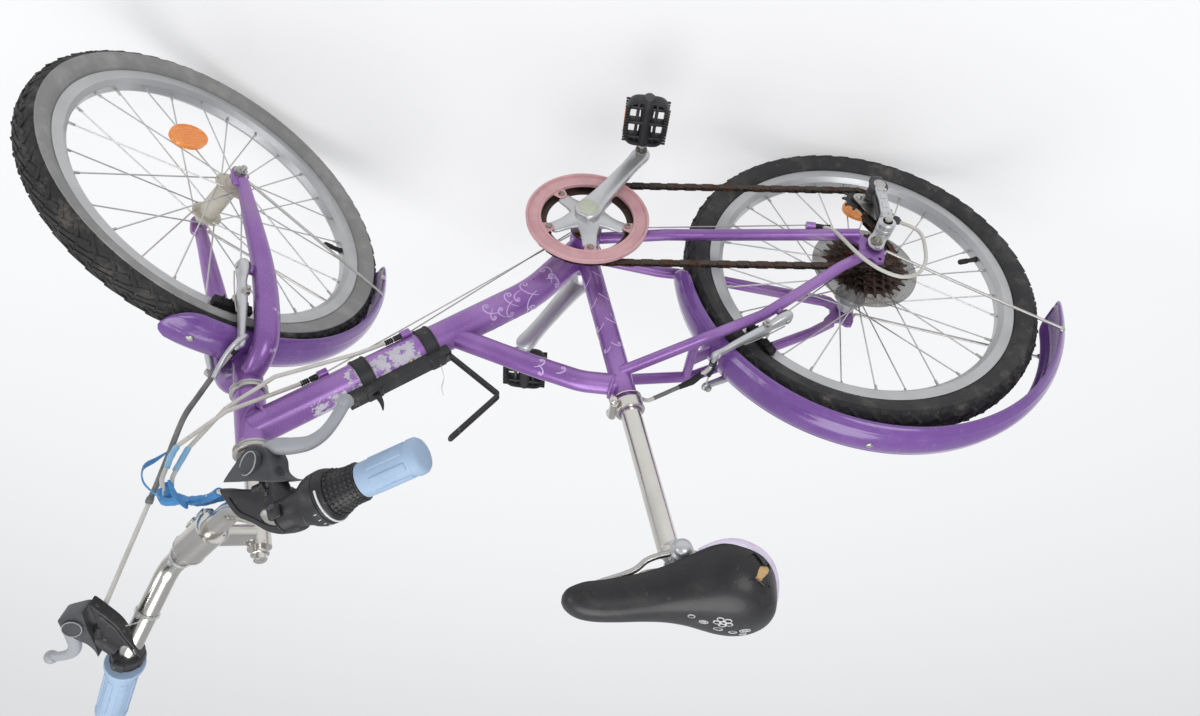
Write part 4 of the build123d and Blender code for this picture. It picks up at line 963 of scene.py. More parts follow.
# %% [markdown]
# ## Ornament on the tubes
# The tubes carry pale curls, thin enough to feel flush with the paint. A curl is a spiral drawn
# on the unrolled tube and wrapped back on: one number runs along the tube and the other round
# it. A flat ribbon swept on that line keeps a crisp edge that a noise pattern can't give. Worn
# label patches are grids wrapped the same way, eaten away by their finish.

# %% A tube's own coordinates
class Tube:
    """A straight stretch of tube on which s runs along, and w round from the top to the right."""

    def __init__(self, start, end, radius):
        self.start = Vector(start)
        self.line = (Vector(end) - self.start).normalized()
        self.radius = radius
        self.top = LEFT.cross(self.line) * -1
        if self.top.z < 0:
            self.top = -self.top

    def middle(self, s):
        return self.start + self.line * s

    def out(self, w):
        turn = w / self.radius
        return self.top * math.cos(turn) - LEFT * math.sin(turn)

    def spot(self, s, w, lift=0):
        return self.middle(s) + self.out(w) * (self.radius + lift)


DOWN_TUBE = Tube((445, 0, 88), on_steerer(368), 20)
LOW_TUBE = Tube(CRANK, (445, 0, 88), 20)
SEAT_TUBE = Tube(CRANK, on_seat_tube(276), 14.3)
TOP_TUBE = Tube((432, 0, 206), (372, 0, 222), 13.5)
print("down tube runs along", DOWN_TUBE.line)

# %% Curls
def curl(tube, s, w, size, heading, turn):
    """A stem that winds into a spiral, drawn on the unrolled tube."""
    line = []
    direction = math.radians(heading)
    for k in range(40):
        swell = 0.4 + 0.9 * math.sin(math.pi * min(1, (k + 2) / 42))
        line.append((s, w, 0.78 * (swell + 1.3 * math.exp(-((k - 37) / 1.8) ** 2))))
        direction += turn * (0.01 + 0.0112 * k)
        step = size * 0.17 * (1 - k / 52)
        s += step * math.cos(direction)
        w += step * math.sin(direction)
    frames = []
    for i, (s, w, half) in enumerate(line):
        before = tube.spot(*line[max(i - 1, 0)][:2])
        after = tube.spot(*line[min(i + 1, len(line) - 1)][:2])
        ribbon = aimed(tube.spot(s, w, 0.05), after - before, tube.out(w))
        frames.append(ribbon @ Matrix.Diagonal((0.22, half, 1, 1)))
    swept(frames, 6)


# For each tube: s, w, size, heading in degrees and the way that the spiral winds.
CURLS = [
    (DOWN_TUBE, [
        (2, 14, 13, 25, 1), (2, 20, 13, -15, -1), (34, 12, 11, 35, 1), (38, 22, 10, -20, -1),
        (62, 16, 10, 10, 1), (66, 24, 7, -30, -1), (20, 30, 8, 0, -1), (54, 6, 7, 30, 1),
    ]),
    (LOW_TUBE, [(92, 16, 12, 150, -1), (94, 24, 10, 200, 1), (84, 8, 8, 120, -1)]),
    (SEAT_TUBE, [
        (58, 20, 9, 40, 1), (66, 16, 8, -30, -1), (96, 20, 9, 35, 1), (104, 17, 8, -35, -1),
        (138, 20, 8, 40, 1), (146, 17, 7, -40, -1), (178, 19, 6, 35, 1), (184, 17, 5, -35, -1),
    ]),
    (TOP_TUBE, [(4, 12, 7, 20, 1), (8, 16, 6, -20, -1), (32, 13, 6, 15, 1)]),
]
for tube, rows in CURLS:
    for s, w, size, heading, turn in rows:
        curl(tube, s, w, size, heading, turn)
        curl(tube, s, -w, size, -heading, -turn)
piece("tube_curls", "lilac_ink", 80)
print("curls:", 2 * sum(len(rows) for tube, rows in CURLS))

# %% Worn labels and a flower
def label(name, s_from, s_to, w_from, w_to):
    """A patch of torn label on the down tube, with a wobbly outline."""
    def torn(u, v):
        rough_u = 1 + 0.07 * math.sin(9 * v + s_from) + 0.05 * math.sin(23 * v)
        rough_v = 1 + 0.10 * math.sin(7 * u + s_from) + 0.07 * math.sin(19 * u)
        s = (s_from + s_to + (s_to - s_from) * u * rough_u) / 2
        return DOWN_TUBE.spot(s, (w_from + w_to + (w_to - w_from) * v * rough_v) / 2, 0.12)

    heart = DOWN_TUBE.middle((s_from + s_to) / 2)
    shell(name, "peeled_label", 80, (60, 24), torn, heart)


label("label_rear_right", 176, 212, 10, 34)
label("label_front_right", 216, 268, 4, 33)
label("label_front_top", 268, 318, -8, 16)
label("label_left", 190, 280, -32, -8)
for side in (1, -1):
    for k in range(5):
        turn = 2 * math.pi * k / 5
        at = (189 + 3.4 * math.cos(turn), side * (5 + 3.4 * math.sin(turn)))
        petal = aimed(DOWN_TUBE.spot(*at), DOWN_TUBE.out(at[1]), DOWN_TUBE.line)
        petal = dialled(petal, -side * k, 5) @ Matrix.Diagonal((1.35, 1, 1, 1))
        lathed(petal, [(0, 2.2), (0.2, 2.2), (0.3, 1.9)], 14)
piece("tube_flower", "yellow_ink", 60)
print("ornament done")

# %% [markdown]
# ## Weld beads
# Where two tubes meet, the welder leaves a ring of small overlapping ripples under the paint. A
# circle of short bumps in the plane of each joint is enough for the eye.

# %% Welds
# Centre and axis of the smaller tube where it meets the larger one, with its radius and the
# tilt of the joint's plane along the bicycle.
WELDS = [
    (on_steerer(356, -17), DOWN_TUBE.line, 20, -12),
    (on_seat_tube(236, 14), (1, 0, -0.12), 13.4, 8),
    (on_seat_tube(19), SEAT_UP, 14.4, 0),
]
for centre, line, radius, tilt in WELDS:
    place = aimed(centre, line) @ Matrix.Rotation(math.radians(tilt), 4, "X")
    ring = [place @ Vector((x, y, 0)) for x, y in hoop(56, radius, radius)]
    ripples = [Vector((*spot, 1.9 + 0.35 * (k % 2))) for k, spot in enumerate(ring)]
    swept(along(ripples, None, 1, line), 8)
piece("weld_beads", "violet_paint", 80)
print("welds:", len(WELDS))

# %% [markdown]
# ## Saddle
# The saddle is foam under stretched vinyl: broad behind, waisted, with a nose that rises a
# little and then turns down. Its skirt hangs lower than its hollow middle. A closed cylinder
# with many sides is pulled over a function of two numbers, the place from tail to nose and the
# turn round the section. A power on each coordinate makes the section squarer than an ellipse,
# as foam over a flat base is.

# %% Cover and base
# Place along the bicycle, half width, bottom and top, all in millimetres.
SADDLE = [
    (147.5, 8, 488, 494), (149, 22, 480, 500), (153, 35, 471, 505), (160, 47, 464, 509.5),
    (171, 57.5, 458, 513.5), (186, 64, 454, 515.5), (203, 64.5, 451, 515),
    (220, 58.5, 451.5, 513), (240, 46, 457, 511.5), (262, 35.5, 466, 511.8),
    (286, 28.5, 474, 514.4), (310, 24.5, 480.5, 517.8), (332, 22.5, 485.5, 519.8),
    (348, 21.5, 488.5, 519), (359, 19.5, 492.5, 515.5), (367, 14.5, 496, 510), (371, 6, 500, 504.5),
]
SADDLE_LINE = smooth_line(SADDLE, 5)
UNDERSIDE = 479
SIDE_POWER, TOP_POWER, SKIRT_POWER = 0.78, 0.72, 0.55


def saddle_spot(share, turn):
    """Point of the cover at a share of its length and a turn from its right edge over the top."""
    at = share * (len(SADDLE_LINE) - 1)
    i = min(int(at), len(SADDLE_LINE) - 2)
    x, half, low, high = SADDLE_LINE[i].lerp(SADDLE_LINE[i + 1], at - i)
    c, s = math.cos(turn), math.sin(turn)
    if s >= 0:
        return Vector((x, half * power(c, SIDE_POWER), low + (high - low) * power(s, TOP_POWER)))
    across = power(c, SKIRT_POWER)
    inward = min(1, max(0, (0.94 - abs(across)) / 0.16))
    rise = (max(low + 3, UNDERSIDE) - low) * inward * inward * (3 - 2 * inward)
    return Vector((x, (half + 2 * s) * across, low + rise + 1.5 * s))


def on_saddle(x, y, lift=0):
    """Point on top of the cover, straight above a place."""
    station = min(SADDLE_LINE, key=lambda spot: abs(spot[0] - x))
    c = min(1, abs(y) / station[1]) ** (1 / SIDE_POWER)
    top = (station[3] - station[2]) * math.sqrt(1 - c * c) ** TOP_POWER
    return Vector((x, y, station[2] + top + lift))


def pulled(steps, sides, spot):
    """A closed cylinder, each corner of which is moved to spot(share, turn)."""
    swept([shift((0, 0, k / steps)) for k in range(steps + 1)], sides)
    for vert in bench.verts:
        vert.co = spot(vert.co.z, math.atan2(vert.co.y, vert.co.x))


def tray_spot(share, turn):
    share = 0.02 + 0.94 * share
    x, y, z = saddle_spot(share, turn)
    low = saddle_spot(share, -math.pi / 2).z
    return Vector((x, y * 0.84, low - 1 + 3 * math.sin(turn)))


print("top of the saddle's middle", on_saddle(203, 0))

# %% Skin, tray and rim
pulled(84, 64, saddle_spot)
cover = piece("saddle_skin", "saddle_vinyl", 75, stands_for="saddle_cover")
pulled(60, 48, tray_spot)
piece("saddle_tray", "black_plastic", 50, stands_for="saddle_base")

tail = [station for station in SADDLE_LINE if station[0] < 236]
edge = [
    Vector((x, side * (half - 1.2), low - 2, 5 - 3.6 * max(0, x - 195) / 41))
    for side, way in ((1, -1), (-1, 1)) for x, half, low, high in tail[::way]
]
swept(along(edge, None, 0.42, (0, 0, 1)), 12)
piece("saddle_rim", "saddle_edge", 60)
print("rim of", len(edge), "points")

# %% [markdown]
# ## Print and tear
# A pale print of rings and a flower sits on the tail, drawn as raised ribbons that follow the
# cover. At the right corner the vinyl has split: yellow foam bulges through, with curled edges.

# %% Print
def printed_ring(x, y, long, wide, line=0.75):
    ring = [on_saddle(x + ahead, y + aside, 0.1) for ahead, aside in hoop(28, long, wide)]
    swept(along(ring, line, 0.5), 6)


for x, y, long, wide in (
    (178, 4, 5.4, 4.4), (178, 4, 2.8, 2.2), (190, 9, 4, 3.4), (206, 6, 4.6, 3.4),
    (223, -4, 4.4, 3.6), (223, -4, 2, 1.6), (237, -12, 3.6, 3), (178, 15, 3.6, 2.8),
):
    printed_ring(x, y, long, wide)
for x, y in hoop(5, 6.8, 6.8, 0.3)[:-1]:
    printed_ring(204 + x, -12 + y, 3.5, 3.5, 0.85)
printed_ring(204, -12, 2.8, 2.8, 0.9)
piece("saddle_print", "print_white", 80)
print("print done")

# %% Tear
TEAR = 0.25
FOAM_HEART = Vector((195, 0, 485))
rng = random.Random(3)
for k in range(3):
    middle = saddle_spot(TEAR + 0.012 * k, math.pi - 0.16 - 0.09 * k)
    dome = [(-3, 5.6 - k), (-0.6, 5.2 - k), (0.6, 3.8 - k), (1.2, 1.6)]
    place = aimed(middle, middle - FOAM_HEART) @ Matrix.Diagonal((1.5, 1, 1, 1))
    lathed(place @ Matrix.Rotation(0.5 * k, 4, "Z"), dome, 14)
for vert in bench.verts:
    vert.co += Vector([rng.uniform(-1, 1) for axis in range(3)]) * 0.35
piece("saddle_foam", "foam", 60)
for turn in (-0.42, -0.06):
    lip = []
    for k, radius in enumerate((0.3, 1.1, 1.7, 1.6, 1, 0.3)):
        spot = saddle_spot(TEAR - 0.05 + 0.024 * k, math.pi + turn + 0.04 * math.sin(2.1 * k))
        curled = 0.4 + 0.9 * math.sin(math.pi * k / 5)
        lip.append((*(spot + (spot - FOAM_HEART).normalized() * curled), radius))
    bent(lip, None, 8, 0.5, 5)
piece("saddle_tear_lips", "saddle_vinyl", 70)
print("tear done")

# %% [markdown]
# ## Saddle rails and clamps
# Two bent rods carry the saddle. A clamp with toothed discs holds them on top of the post, and
# a domed nut closes it at each side. Lower down a bolted collar holds the post in its tube.

# %% Rails and clamps
RAIL = [
    (352, 8, 491), (332, 11, 483), (300, 16, 470), (285, 18, 457), (268, 21.5, 450.5),
    (249, 24, 448), (214, 25, 449), (188, 25, 462), (176, 25, 481),
]
HEAD = Vector((250, 0, 447))
for side in (1, -1):
    bent([(x, side * y, z) for x, y, z in RAIL], 3.4, 14)
piece("saddle_rail_rods", "bright_steel", 60, stands_for="saddle_rails")
post_top = on_seat_tube(452)
bent([(*post_top, 13.2), (*(post_top * 0.5 + HEAD * 0.5), 12.6), (*HEAD, 11.4)], None, 28)
disc = [
    (0, 9.6), (12, 9.6), (12.4, 12.4), (17.4, 12.8), (18.6, 12.8), (20.2, 12.8), (29, 12.6),
    (30, 11.4),
]
for side in (1, -1):
    lathed(sideways(HEAD, side), disc, 36)
    knurled(sideways(HEAD, side), 18, (12.4, 0, 18.8), (1.6, 1.4, 2.4), 0.3)
piece("saddle_clamp_body", "alloy", stands_for="saddle_clamp")
dome = [(30, 11.2), (31.4, 11.4), (32.2, 10.6), (36, 10.2), (39, 8.6), (41, 5.4), (41.8, 1.8)]
for side in (1, -1):
    lathed(sideways(HEAD, side), dome)
piece("saddle_clamp_nuts", "alloy", 35)

collar = on_seat_tube(265, 20)
hex_bolt(sideways(collar + LEFT * 14, 1), 10, 5)
button_bolt(sideways(collar - LEFT * 14, -1), 5.6, 4.2)
for height in (255.4, 272.6):
    ring = [(0, 17), (0.4, 18.4), (1.8, 18.4), (2.2, 17)]
    lathed(aimed(on_seat_tube(height), SEAT_UP), ring, 40)
piece("seat_clamp_bolt", "chrome", 35)
print("saddle done")

# %% [markdown]
# ## Grips and twist shifter
# Everything on the bar is turned about the bar's own line, so one matrix per side stands each
# lathe profile there: Z runs inward from the bar's end. The grip has a rounded cap, pads for
# the palm and a collar; the shifter has raised blocks for the thumb, all round.

# %% Grips
STEM_CLAMP = on_steerer(514, 63)
BAR_CORNER = STEM_CLAMP + Vector((-15, 140, 51))
BAR_END = STEM_CLAMP + Vector((-61, 280, 43))
BAR_LINE = (BAR_END - BAR_CORNER).normalized()


def mirrored(spot, side):
    return Vector((spot[0], side * spot[1], spot[2]))


def bar_end(side):
    """Matrix at a bar end, with Z along the bar towards its middle and X about upward."""
    return aimed(mirrored(BAR_END, side), -mirrored(BAR_LINE, side), (0, 0, 1))


for side, name, length in ((-1, "right_grip", 58), (1, "left_grip", 120)):
    end = bar_end(side)
    profile = [(-3, 4), (-3, 12), (-2.2, 14.6), (0.5, 16.6), (6, 16.9), (7.2, 15.8), (9, 15.7)]
    profile += [(length * 0.5, 15.3), (length - 9, 15.9), (length - 7.4, 15.9)]
    if side > 0:
        profile += [(length - 6.6, 19.6), (length - 2, 20), (length - 0.6, 19.4)]
    lathed(end, profile + [(length - 0.2, 15.6), (length, 11.3)], 48)
    for k in range(7):
        pad = dialled(end, k + 0.5, 7) @ shift((15.3, 0, length * 0.48))
        block(pad, (2.4, 7.2, length * 0.62), 1.15, 3)
    stands = "grips" if side < 0 else ()
    piece(name + "_rubber", "blue_rubber", 45, "steering", stands)
print("grips done")

# %% Twist shifter
end = bar_end(-1)
ring = [
    (58.4, 12), (58.4, 16), (59.2, 16.6), (66, 16.8), (76, 18), (84, 20.4), (86, 21), (86, 12),
]
lathed(end, ring, 48)
for height in (61.6, 66.2, 70.8, 75.4, 80, 84.2):
    flare = 16.8 + max(0, height - 68) ** 2 * 0.0145
    knurled(end, 26, (flare, 0, height), (2.2, 3, 3.5), 0.7)
piece("shifter_twist_ring", "black_plastic", 40, "steering", "twist_shifter")
shoulder = [
    (86.4, 12), (86.4, 21.4), (87.2, 22.8), (90, 24), (94.4, 24.8), (95, 24), (96, 24),
    (96.6, 24.8), (105, 24.2), (111, 22), (116, 19), (122, 17), (128.5, 16.2), (128.5, 12),
]
lathed(end, shoulder, 52)
for out, height, size, edge in ((18, 103, (15, 22, 22), 4), (24.5, 112, (8.5, 11, 30), 3)):
    block(dialled(end, 200, 360) @ shift((out, 0, height)), size, edge, 3)
piece("shifter_body", "black_plastic", body="steering")
for k in range(4):
    block(dialled(end, 16 * k - 34, 360) @ shift((24.55, 0, 100.4)), (0.5, 0.9, 2.8), 0.15, 1)
ring = [dialled(end, 5 * k - 110, 360) @ Vector((24.4, 0, 91.8)) for k in range(35)]
swept(along(ring, 1, 0.6, BAR_LINE), 8)
piece("shifter_marks", "label_white", 60, "steering")
print("grips and shifter done")

# %% [markdown]
# ## Brake levers
# A lever is a flat blade that swings in a moulded perch. The blade is a curve swept with a
# section that is wider than it is thick, growing to a ball at its tip. The perch keeps the CAD
# body and gets what a hand would feel on it: clamp bolts, the pivot's oval cap, and the
# knurled barrel where the cable enters.

# %% Outlines of the levers
# All these are given as inward from the lever's clamp and ahead of the bar, in the plane in
# which the lever swings, and the third number of a blade's station is its radius.
DROOP = {"right": 57, "left": 8}
CLAMP_AT = 136
BLADE = [
    (6, 66, 6.4), (-8, 64.5, 8), (-22, 59, 7.8), (-40, 54.5, 6.8), (-57, 57, 6.2), (-72, 65, 6),
    (-86, 75.5, 6.2),
]
LEVER_HEAD = [
    (-17, 26), (-9, 31), (-4, 40), (-6, 51), (-3, 64), (6, 71.5), (15, 72.5), (33, 62),
    (47, 52.6), (44, 50), (22, 42), (0, 31),
]
PERCH = [
    (-9, -15), (8, -17), (24, -9), (37, 5), (50, 17), (57, 34), (60, 49), (46, 43), (32, 37),
    (14, 31), (-3, 25), (-10, 10),
]
PERCH_RIB = [(6, -12), (22, -4), (35, 9), (46, 20), (52, 36)]
print("blade's stations", len(BLADE))

# %% Blades, caps and barrels
for (name, droop), side in zip(DROOP.items(), (-1, 1)):
    def at(inward, ahead, rise=0):
        clamp = mirrored(BAR_END, side) - mirrored(BAR_LINE, side) * (CLAMP_AT + inward)
        return clamp + polar(ahead, -droop) + polar(rise, 90 - droop)

    def lever_piece(part, finish, smooth, stands_for=()):
        piece(name + part, finish, smooth, "steering", stands_for)

    up = at(0, 0, 1) - at(0, 0)
    line = at(1, 0) - at(0, 0)
    blade = [(*at(inward, ahead), radius) for inward, ahead, radius in BLADE]
    swept(along(smooth_line(blade, 7), None, 0.62, up.cross(line)), 20, 0.85)
    tip = at(-87.5, 76.7)
    ball = [(-6, 3.4), (-5.2, 5.2), (-3.2, 6.6), (0, 7.3), (3.2, 6.6), (5.2, 5), (6.6, 1.6)]
    lathed(aimed(tip, at(-94, 82) - tip, up), ball, 20)
    # The blades' light grey is partly a painted reflection of the sky on glossy plastic.
    lever_piece("_blade", "silver_and_sky_sheen_plastic", 60, "brake_levers" if side < 0 else ())

    plate(closed_line([tuple(at(*spot, -8.6)) for spot in LEVER_HEAD], 4), up * 17.6, 2, 3)
    lever_piece("_lever_head", "dark_grey", 40)
    plate(closed_line([tuple(at(*spot, -8.5)) for spot in PERCH], 4), up * 12.5, 2.4, 3)
    bent([(*at(*spot, 4.4), 1.3) for spot in PERCH_RIB], None, 8, 1, 4)
    lever_piece("_perch_fin", "black_plastic", 40)

    cap = aimed(at(15, 57, 10.4), up, at(30.4, 53.6) - at(2.9, 61.5))
    oval = [(-3.4, 9.6), (0.9, 9.6), (1.5, 9), (1.5, 8.4), (1, 8), (1.1, 0.8)]
    lathed(cap @ Matrix.Diagonal((1.45, 1, 1, 1)), oval, 44)
    lever_piece("_pivot_cap", "dark_grey", 35)
    ring = [cap @ Vector((x, y, 1.7)) for x, y in hoop(40, 12.9, 8.9)]
    swept(along(ring, 0.55, 1, up), 8)
    lever_piece("_cap_line", "silver_and_sky_sheen_plastic", 60)

    for rise in (-16.5, 16.5):
        button_bolt(aimed(at(0, 4, rise), polar(1, -droop), line), 4.2, 5)
    lathed(aimed(at(2, 21, 3.6), up, line), [(-1, 3), (1.4, 3), (1.8, 2.4)], 14)
    lathed(aimed(at(14, 25, 3.6), up, line), [(-1, 2.2), (1, 2.2), (1.3, 1.8)], 14)
    lever_piece("_perch_bolts", "dark_grey", 35)

    barrel = aimed(at(13, 34), line, up)
    lathed(barrel, [(0, 5), (1, 6.6), (5, 6.6), (6, 5), (8, 4.2), (15.4, 4), (16, 3)], 26)
    knurled(barrel, 18, (6.6, 0, 3), (1, 1, 3.6), 0.25)
    for height in (9.2, 10.8, 12.4):
        lathed(barrel, [(height, 4.1), (height + 0.4, 4.8), (height + 0.8, 4.1)], 24)
    lever_piece("_barrel", "black_plastic", 40)

    collar = [(0, 14.8), (0.5, 15.9), (1.6, 15.9), (2.1, 14.8)]
    for height in (-8.2, 6.2):
        lathed(aimed(at(0, 0), line, up) @ shift((0, 0, height)), collar, 36)
    for rise in (-15.5, 15.5):
        block(aimed(at(0, 1.5, rise), line, up), (7, 12, 13.5), 2, 3)
    web = [(*at(3, 12), 9.5), (*at(4, 24), 8), (*at(5, 33), 6.6)]
    bent(web, None, 20, 0.98, 5, up)
    lever_piece("_perch_web", "black_plastic", 40)
print("levers done")

# %% [markdown]
# ## Stem and headset
# The quill's expander bolt has a six-sided socket in a domed head, and the bar clamp closes
# with a bolt under a slit. Polished cups hold the bearings at both ends of the head tube, and
# two eight-sided nuts lock them.

# %% Stem bolts and cups
quill = aimed(on_steerer(522), STEER_UP)
lathed(quill, [(0, 9.6), (1.2, 9.6), (1.8, 8.8), (1.8, 7.2), (7.6, 7), (8.8, 5.8)])
lathed(quill, [(8, 3.2), (9.1, 3.2)], 6)
clamp_ring = [(0, 16.6), (0.5, 17.5), (1.6, 17.5), (2.2, 16.4), (2.2, 11.2)]
for side in (1, -1):
    block(shift(STEM_CLAMP + Vector((6, side * 9, -19))), (16, 14, 8), 2, 3)
    lathed(sideways(STEM_CLAMP + LEFT * side * 20.6, side), clamp_ring, 40)
button_bolt(sideways(STEM_CLAMP + Vector((6, 16, -19)), 1), 4.6, 4.4)
hex_bolt(sideways(STEM_CLAMP + Vector((6, -16, -19)), -1), 9, 4)
piece("stem_bolts", "chrome", 35, "steering")
cup = [
    (-0.8, 19), (0.2, 21.4), (2.2, 21.4), (3, 20.4), (5.4, 20.4), (6, 21.6), (8, 21.6), (8.6, 19.2),
]
nut = [(0, 15), (0, 17.6), (0.6, 18.2), (3.4, 18.2), (4, 17.6), (4, 15)]
for height in (310, 392):
    lathed(aimed(on_steerer(height), STEER_UP), cup, 44)
piece("headset_cups", "bright_steel", 35, stands_for="headset")
for height in (401.2, 405.6):
    lathed(aimed(on_steerer(height), STEER_UP), nut, 8)
piece("lock_nuts", "worn_steel", 30, "steering")
print("stem done")

# %% [markdown]
# ## Pedals
# A resin pedal is an open frame round a barrel. The frame's front and rear bars carry ridges
# that hold the shoe, and cross pieces tie them to the barrel. Each part is a rounded block.

# %% Pedals
CRANK_LENGTH = 139
CRANK_SIDES = ((-1, "right", 242), (1, "left", 62))
barrel = [
    (0, 5.2), (0, 8.4), (2, 9.4), (16, 9.2), (37, 8), (58, 9.2), (72, 9.4), (74, 8.4), (74, 5.2),
]
end_cap = [(0, 7.6), (3, 7.4), (4.4, 6), (4.8, 2.4)]
rounded = [(power(x, 0.42), power(y, 0.5)) for x, y in hoop(64, 1, 1)[:-1]]
outline = [Vector((26.2 * x, 34.6 * y, 0)) for x, y in rounded]
for side, name, way in CRANK_SIDES:
    body = name + "_pedal"
    place = shift(CRANK + polar(CRANK_LENGTH, way, side * 128))
    frames = []
    for k in range(65):
        ahead = outline[(k + 1) % 64] - outline[(k - 1) % 64]
        bar = aimed(outline[k % 64], ahead, (0, 0, 1)) @ Matrix.Diagonal((9.6, 3.4, 1, 1))
        frames.append(place @ bar)
    swept(frames, 14)
    for y in (-24, 0, 24):
        block(place @ shift((0, y, 0)), (50, 5, 13), 1.2)
    for x in (-12.6, 12.6):
        block(place @ shift((x, 0, 0)), (4, 62, 11), 1.2)
    for x in (-26.6, 26.6):
        for z in (-9.2, 9.2):
            for k in range(13):
                block(place @ shift((x, -27 + 4.5 * k, z)), (6.4, 2.2, 3.4), 0.5, 1)
    lathed(place @ sideways((0, -37, 0), 1), barrel)
    piece(body + "_frame", "black_plastic", 40, body, "pedal_" + name)
    for x in (-29.4, 29.4):
        block(place @ shift((x, 0, 0)), (1.4, 34, 9), 0.6)
    piece(body + "_reflectors", "orange_lens", 40, body)
    lathed(place @ sideways((0, side * 37, 0), side), end_cap, 20)
    piece(body + "_cap", "dark_grey", 40, body)
print("pedals done")

# %% [markdown]
# ## Chain guard
# The pink guard is a flat ring with a raised lip at both edges, held by screws on five tabs at
# the ends of the crank's arms. Its section is spun like a tyre's.

# %% Guard, tabs and screws
# Distance out from the middle of the bicycle, and radius.
GUARD = [
    (54.4, 79), (54.4, 82), (60.4, 82.4), (61.2, 81.6), (61.2, 79.6), (60, 78.8), (57.9, 78.4),
    (57.9, 66.2), (58.9, 65.6), (59.6, 64.4), (59.6, 62.6), (58.8, 61.8), (54.4, 61.8),
    (54.4, 62.4),
]
TAB = [(64.6, 11.5), (60, 9.6), (54.5, 7.6), (50.6, 6.2), (48.4, 3.4)]
CRANK_FRAME = FRAME @ shift(CRANK)
ARMS = [242 + 72 * k for k in range(5)]
spun([(radius, -out) for out, radius in GUARD], 120)
piece("guard_ring", "pink_plastic", 35, "crankset", "chain_guard", CRANK_FRAME)
for arm in ARMS:
    tab = [(*polar(reach, arm, -56), radius) for reach, radius in TAB]
    bent(tab, None, 20, 0.17, 4, polar(1, arm + 90))
piece("guard_tabs", "pink_plastic", 50, "crankset", place=CRANK_FRAME)
for arm in ARMS:
    place = aimed(CRANK + polar(55, arm, -57.8), (0, -1, 0), polar(1, arm))
    lathed(place, [(0, 4.4), (1, 4.2), (1.9, 3)], 18)
    block(place @ shift((0, 0, 1.9)), (5, 0.9, 0.5))
    nut = aimed(CRANK + polar(55, arm, -46.6), (0, 1, 0), polar(1, arm))
    lathed(nut, [(0, 4.6), (1.6, 4.6), (2.2, 3.4)], 6)
piece("guard_screws", "worn_steel", 35, "crankset")
print("guard done")

# %% [markdown]
# ## Crank arms and spider
# A crank is forged alloy: square-shouldered, thick at the axle, slimmer in the middle and round
# again at the pedal. A squared circle is swept down it. On the right a star of five short arms
# grows out of the boss like a casting, wide at the root and blunt at the tip.

# %% Cranks and spider
# Reach from the axle, half width, half thickness, and distance from the bicycle's middle.
CRANK_ARM = [
    (-16.5, 5, 4), (-15, 11, 7), (-8, 16.4, 9), (0, 18, 9.4), (12, 16.6, 9.2), (26, 14.4, 8.6),
    (60, 12.4, 7.4), (100, 11.4, 6.8), (124, 12, 6.8), (136, 13, 7.2), (145, 11.8, 7),
    (150, 7.6, 5.6), (151.6, 2.8, 3),
]
SPIDER_ARM = [
    (0, 20, 5, 60), (14, 17, 5.4, 59.6), (22, 13.6, 4.8, 58), (32, 10.8, 3.8, 55.2),
    (42, 9.8, 3.2, 53.2), (48, 9.4, 2.9, 52.6), (51, 7.4, 2.5, 52.4), (52.2, 3.2, 1.6, 52.4),
]
BOSS = [(0, 13), (6, 15), (14, 16.6), (20, 17), (27, 16.2), (31.6, 14.6)]
EYE = [(0, 8.4), (13, 8.4), (13.4, 6), (28.6, 5.6), (29, 4.4)]
CAP = [(0, 13.8), (1.2, 13.8), (1.6, 12.8), (2, 11.6), (2.6, 11.4), (3.2, 8), (3.5, 3)]


def forged(stations, way, side, sides, square):
    """An arm that points way from the crank axle, through its stations."""
    ahead = polar(1, way)
    across = polar(1, way + 90)
    frames = []
    for reach, half, thick, out in smooth_line(stations, 4):
        spot = CRANK + ahead * reach + LEFT * side * out
        frames.append(aimed(spot, ahead, across) @ Matrix.Diagonal((half, thick, 1, 1)))
    swept(frames, sides, square)


for side, name, way in CRANK_SIDES:
    eye = CRANK + polar(CRANK_LENGTH, way)
    forged([(*station, 68.4) for station in CRANK_ARM], way, side, 28, 0.72)
    lathed(sideways(CRANK + LEFT * side * 44, side), BOSS, 40)
    lathed(sideways(eye + LEFT * side * 62, side), EYE, 24)
    piece(name + "_crank_arm", "alloy", CREASE, "crankset", name + "_crank")
for arm in ARMS:
    forged(SPIDER_ARM, arm, -1, 20, 0.8)
    fillet = [polar(24, arm + 10), polar(19.5, arm + 36), polar(24, arm + 62)]
    bent([(*(CRANK + spot - LEFT * 56.6), 4.2) for spot in fillet])
piece("spider", "alloy", 45, "crankset")
for side, name, way in CRANK_SIDES:
    cap = sideways(CRANK + LEFT * side * 75.8, side)
    lathed(cap, CAP, 40)
    block(cap @ shift((0, 0, 3.3)), (7, 1.1, 0.7), 0.2, 1)
    piece(name + "_crank_cap", "crank_cap", 30, "crankset")
    eye = CRANK + polar(CRANK_LENGTH, way)
    nut = [(0, 9.2), (1.4, 9.2), (1.4, 7.6), (6.6, 7.6), (7.2, 6.6)]
    lathed(sideways(eye + LEFT * side * 78.2, side), nut, 6)
    lathed(sideways(eye + LEFT * side * 62.6, -side), [(0, 7), (0.6, 6.8), (1, 3.4)], 24)
    piece(name + "_spindle_nut", "worn_steel", 35, "crankset")
for side in (1, -1):
    cup = sideways(CRANK + LEFT * side * 34, side)
    lathed(cup, [(0, 9), (0, 19.6), (2, 19.6), (2.8, 18.8), (2.8, 9)], 36)
    knurled(cup, 8, (19.4, 0, 1.4), (2.4, 5, 2.4), 0.5)
piece("bearing_cups", "worn_steel", 35)
print("cranks done")

# %% [markdown]
# ## Rear derailleur
# The derailleur hangs from the right dropout: a hanger plate, a spring-loaded knuckle above the
# cage and two links between them. On it are bolts, a coil spring, two stop screws and the
# knurled barrel that make it read as a mechanism. Flat castings are smooth outlines with
# rounded rims.

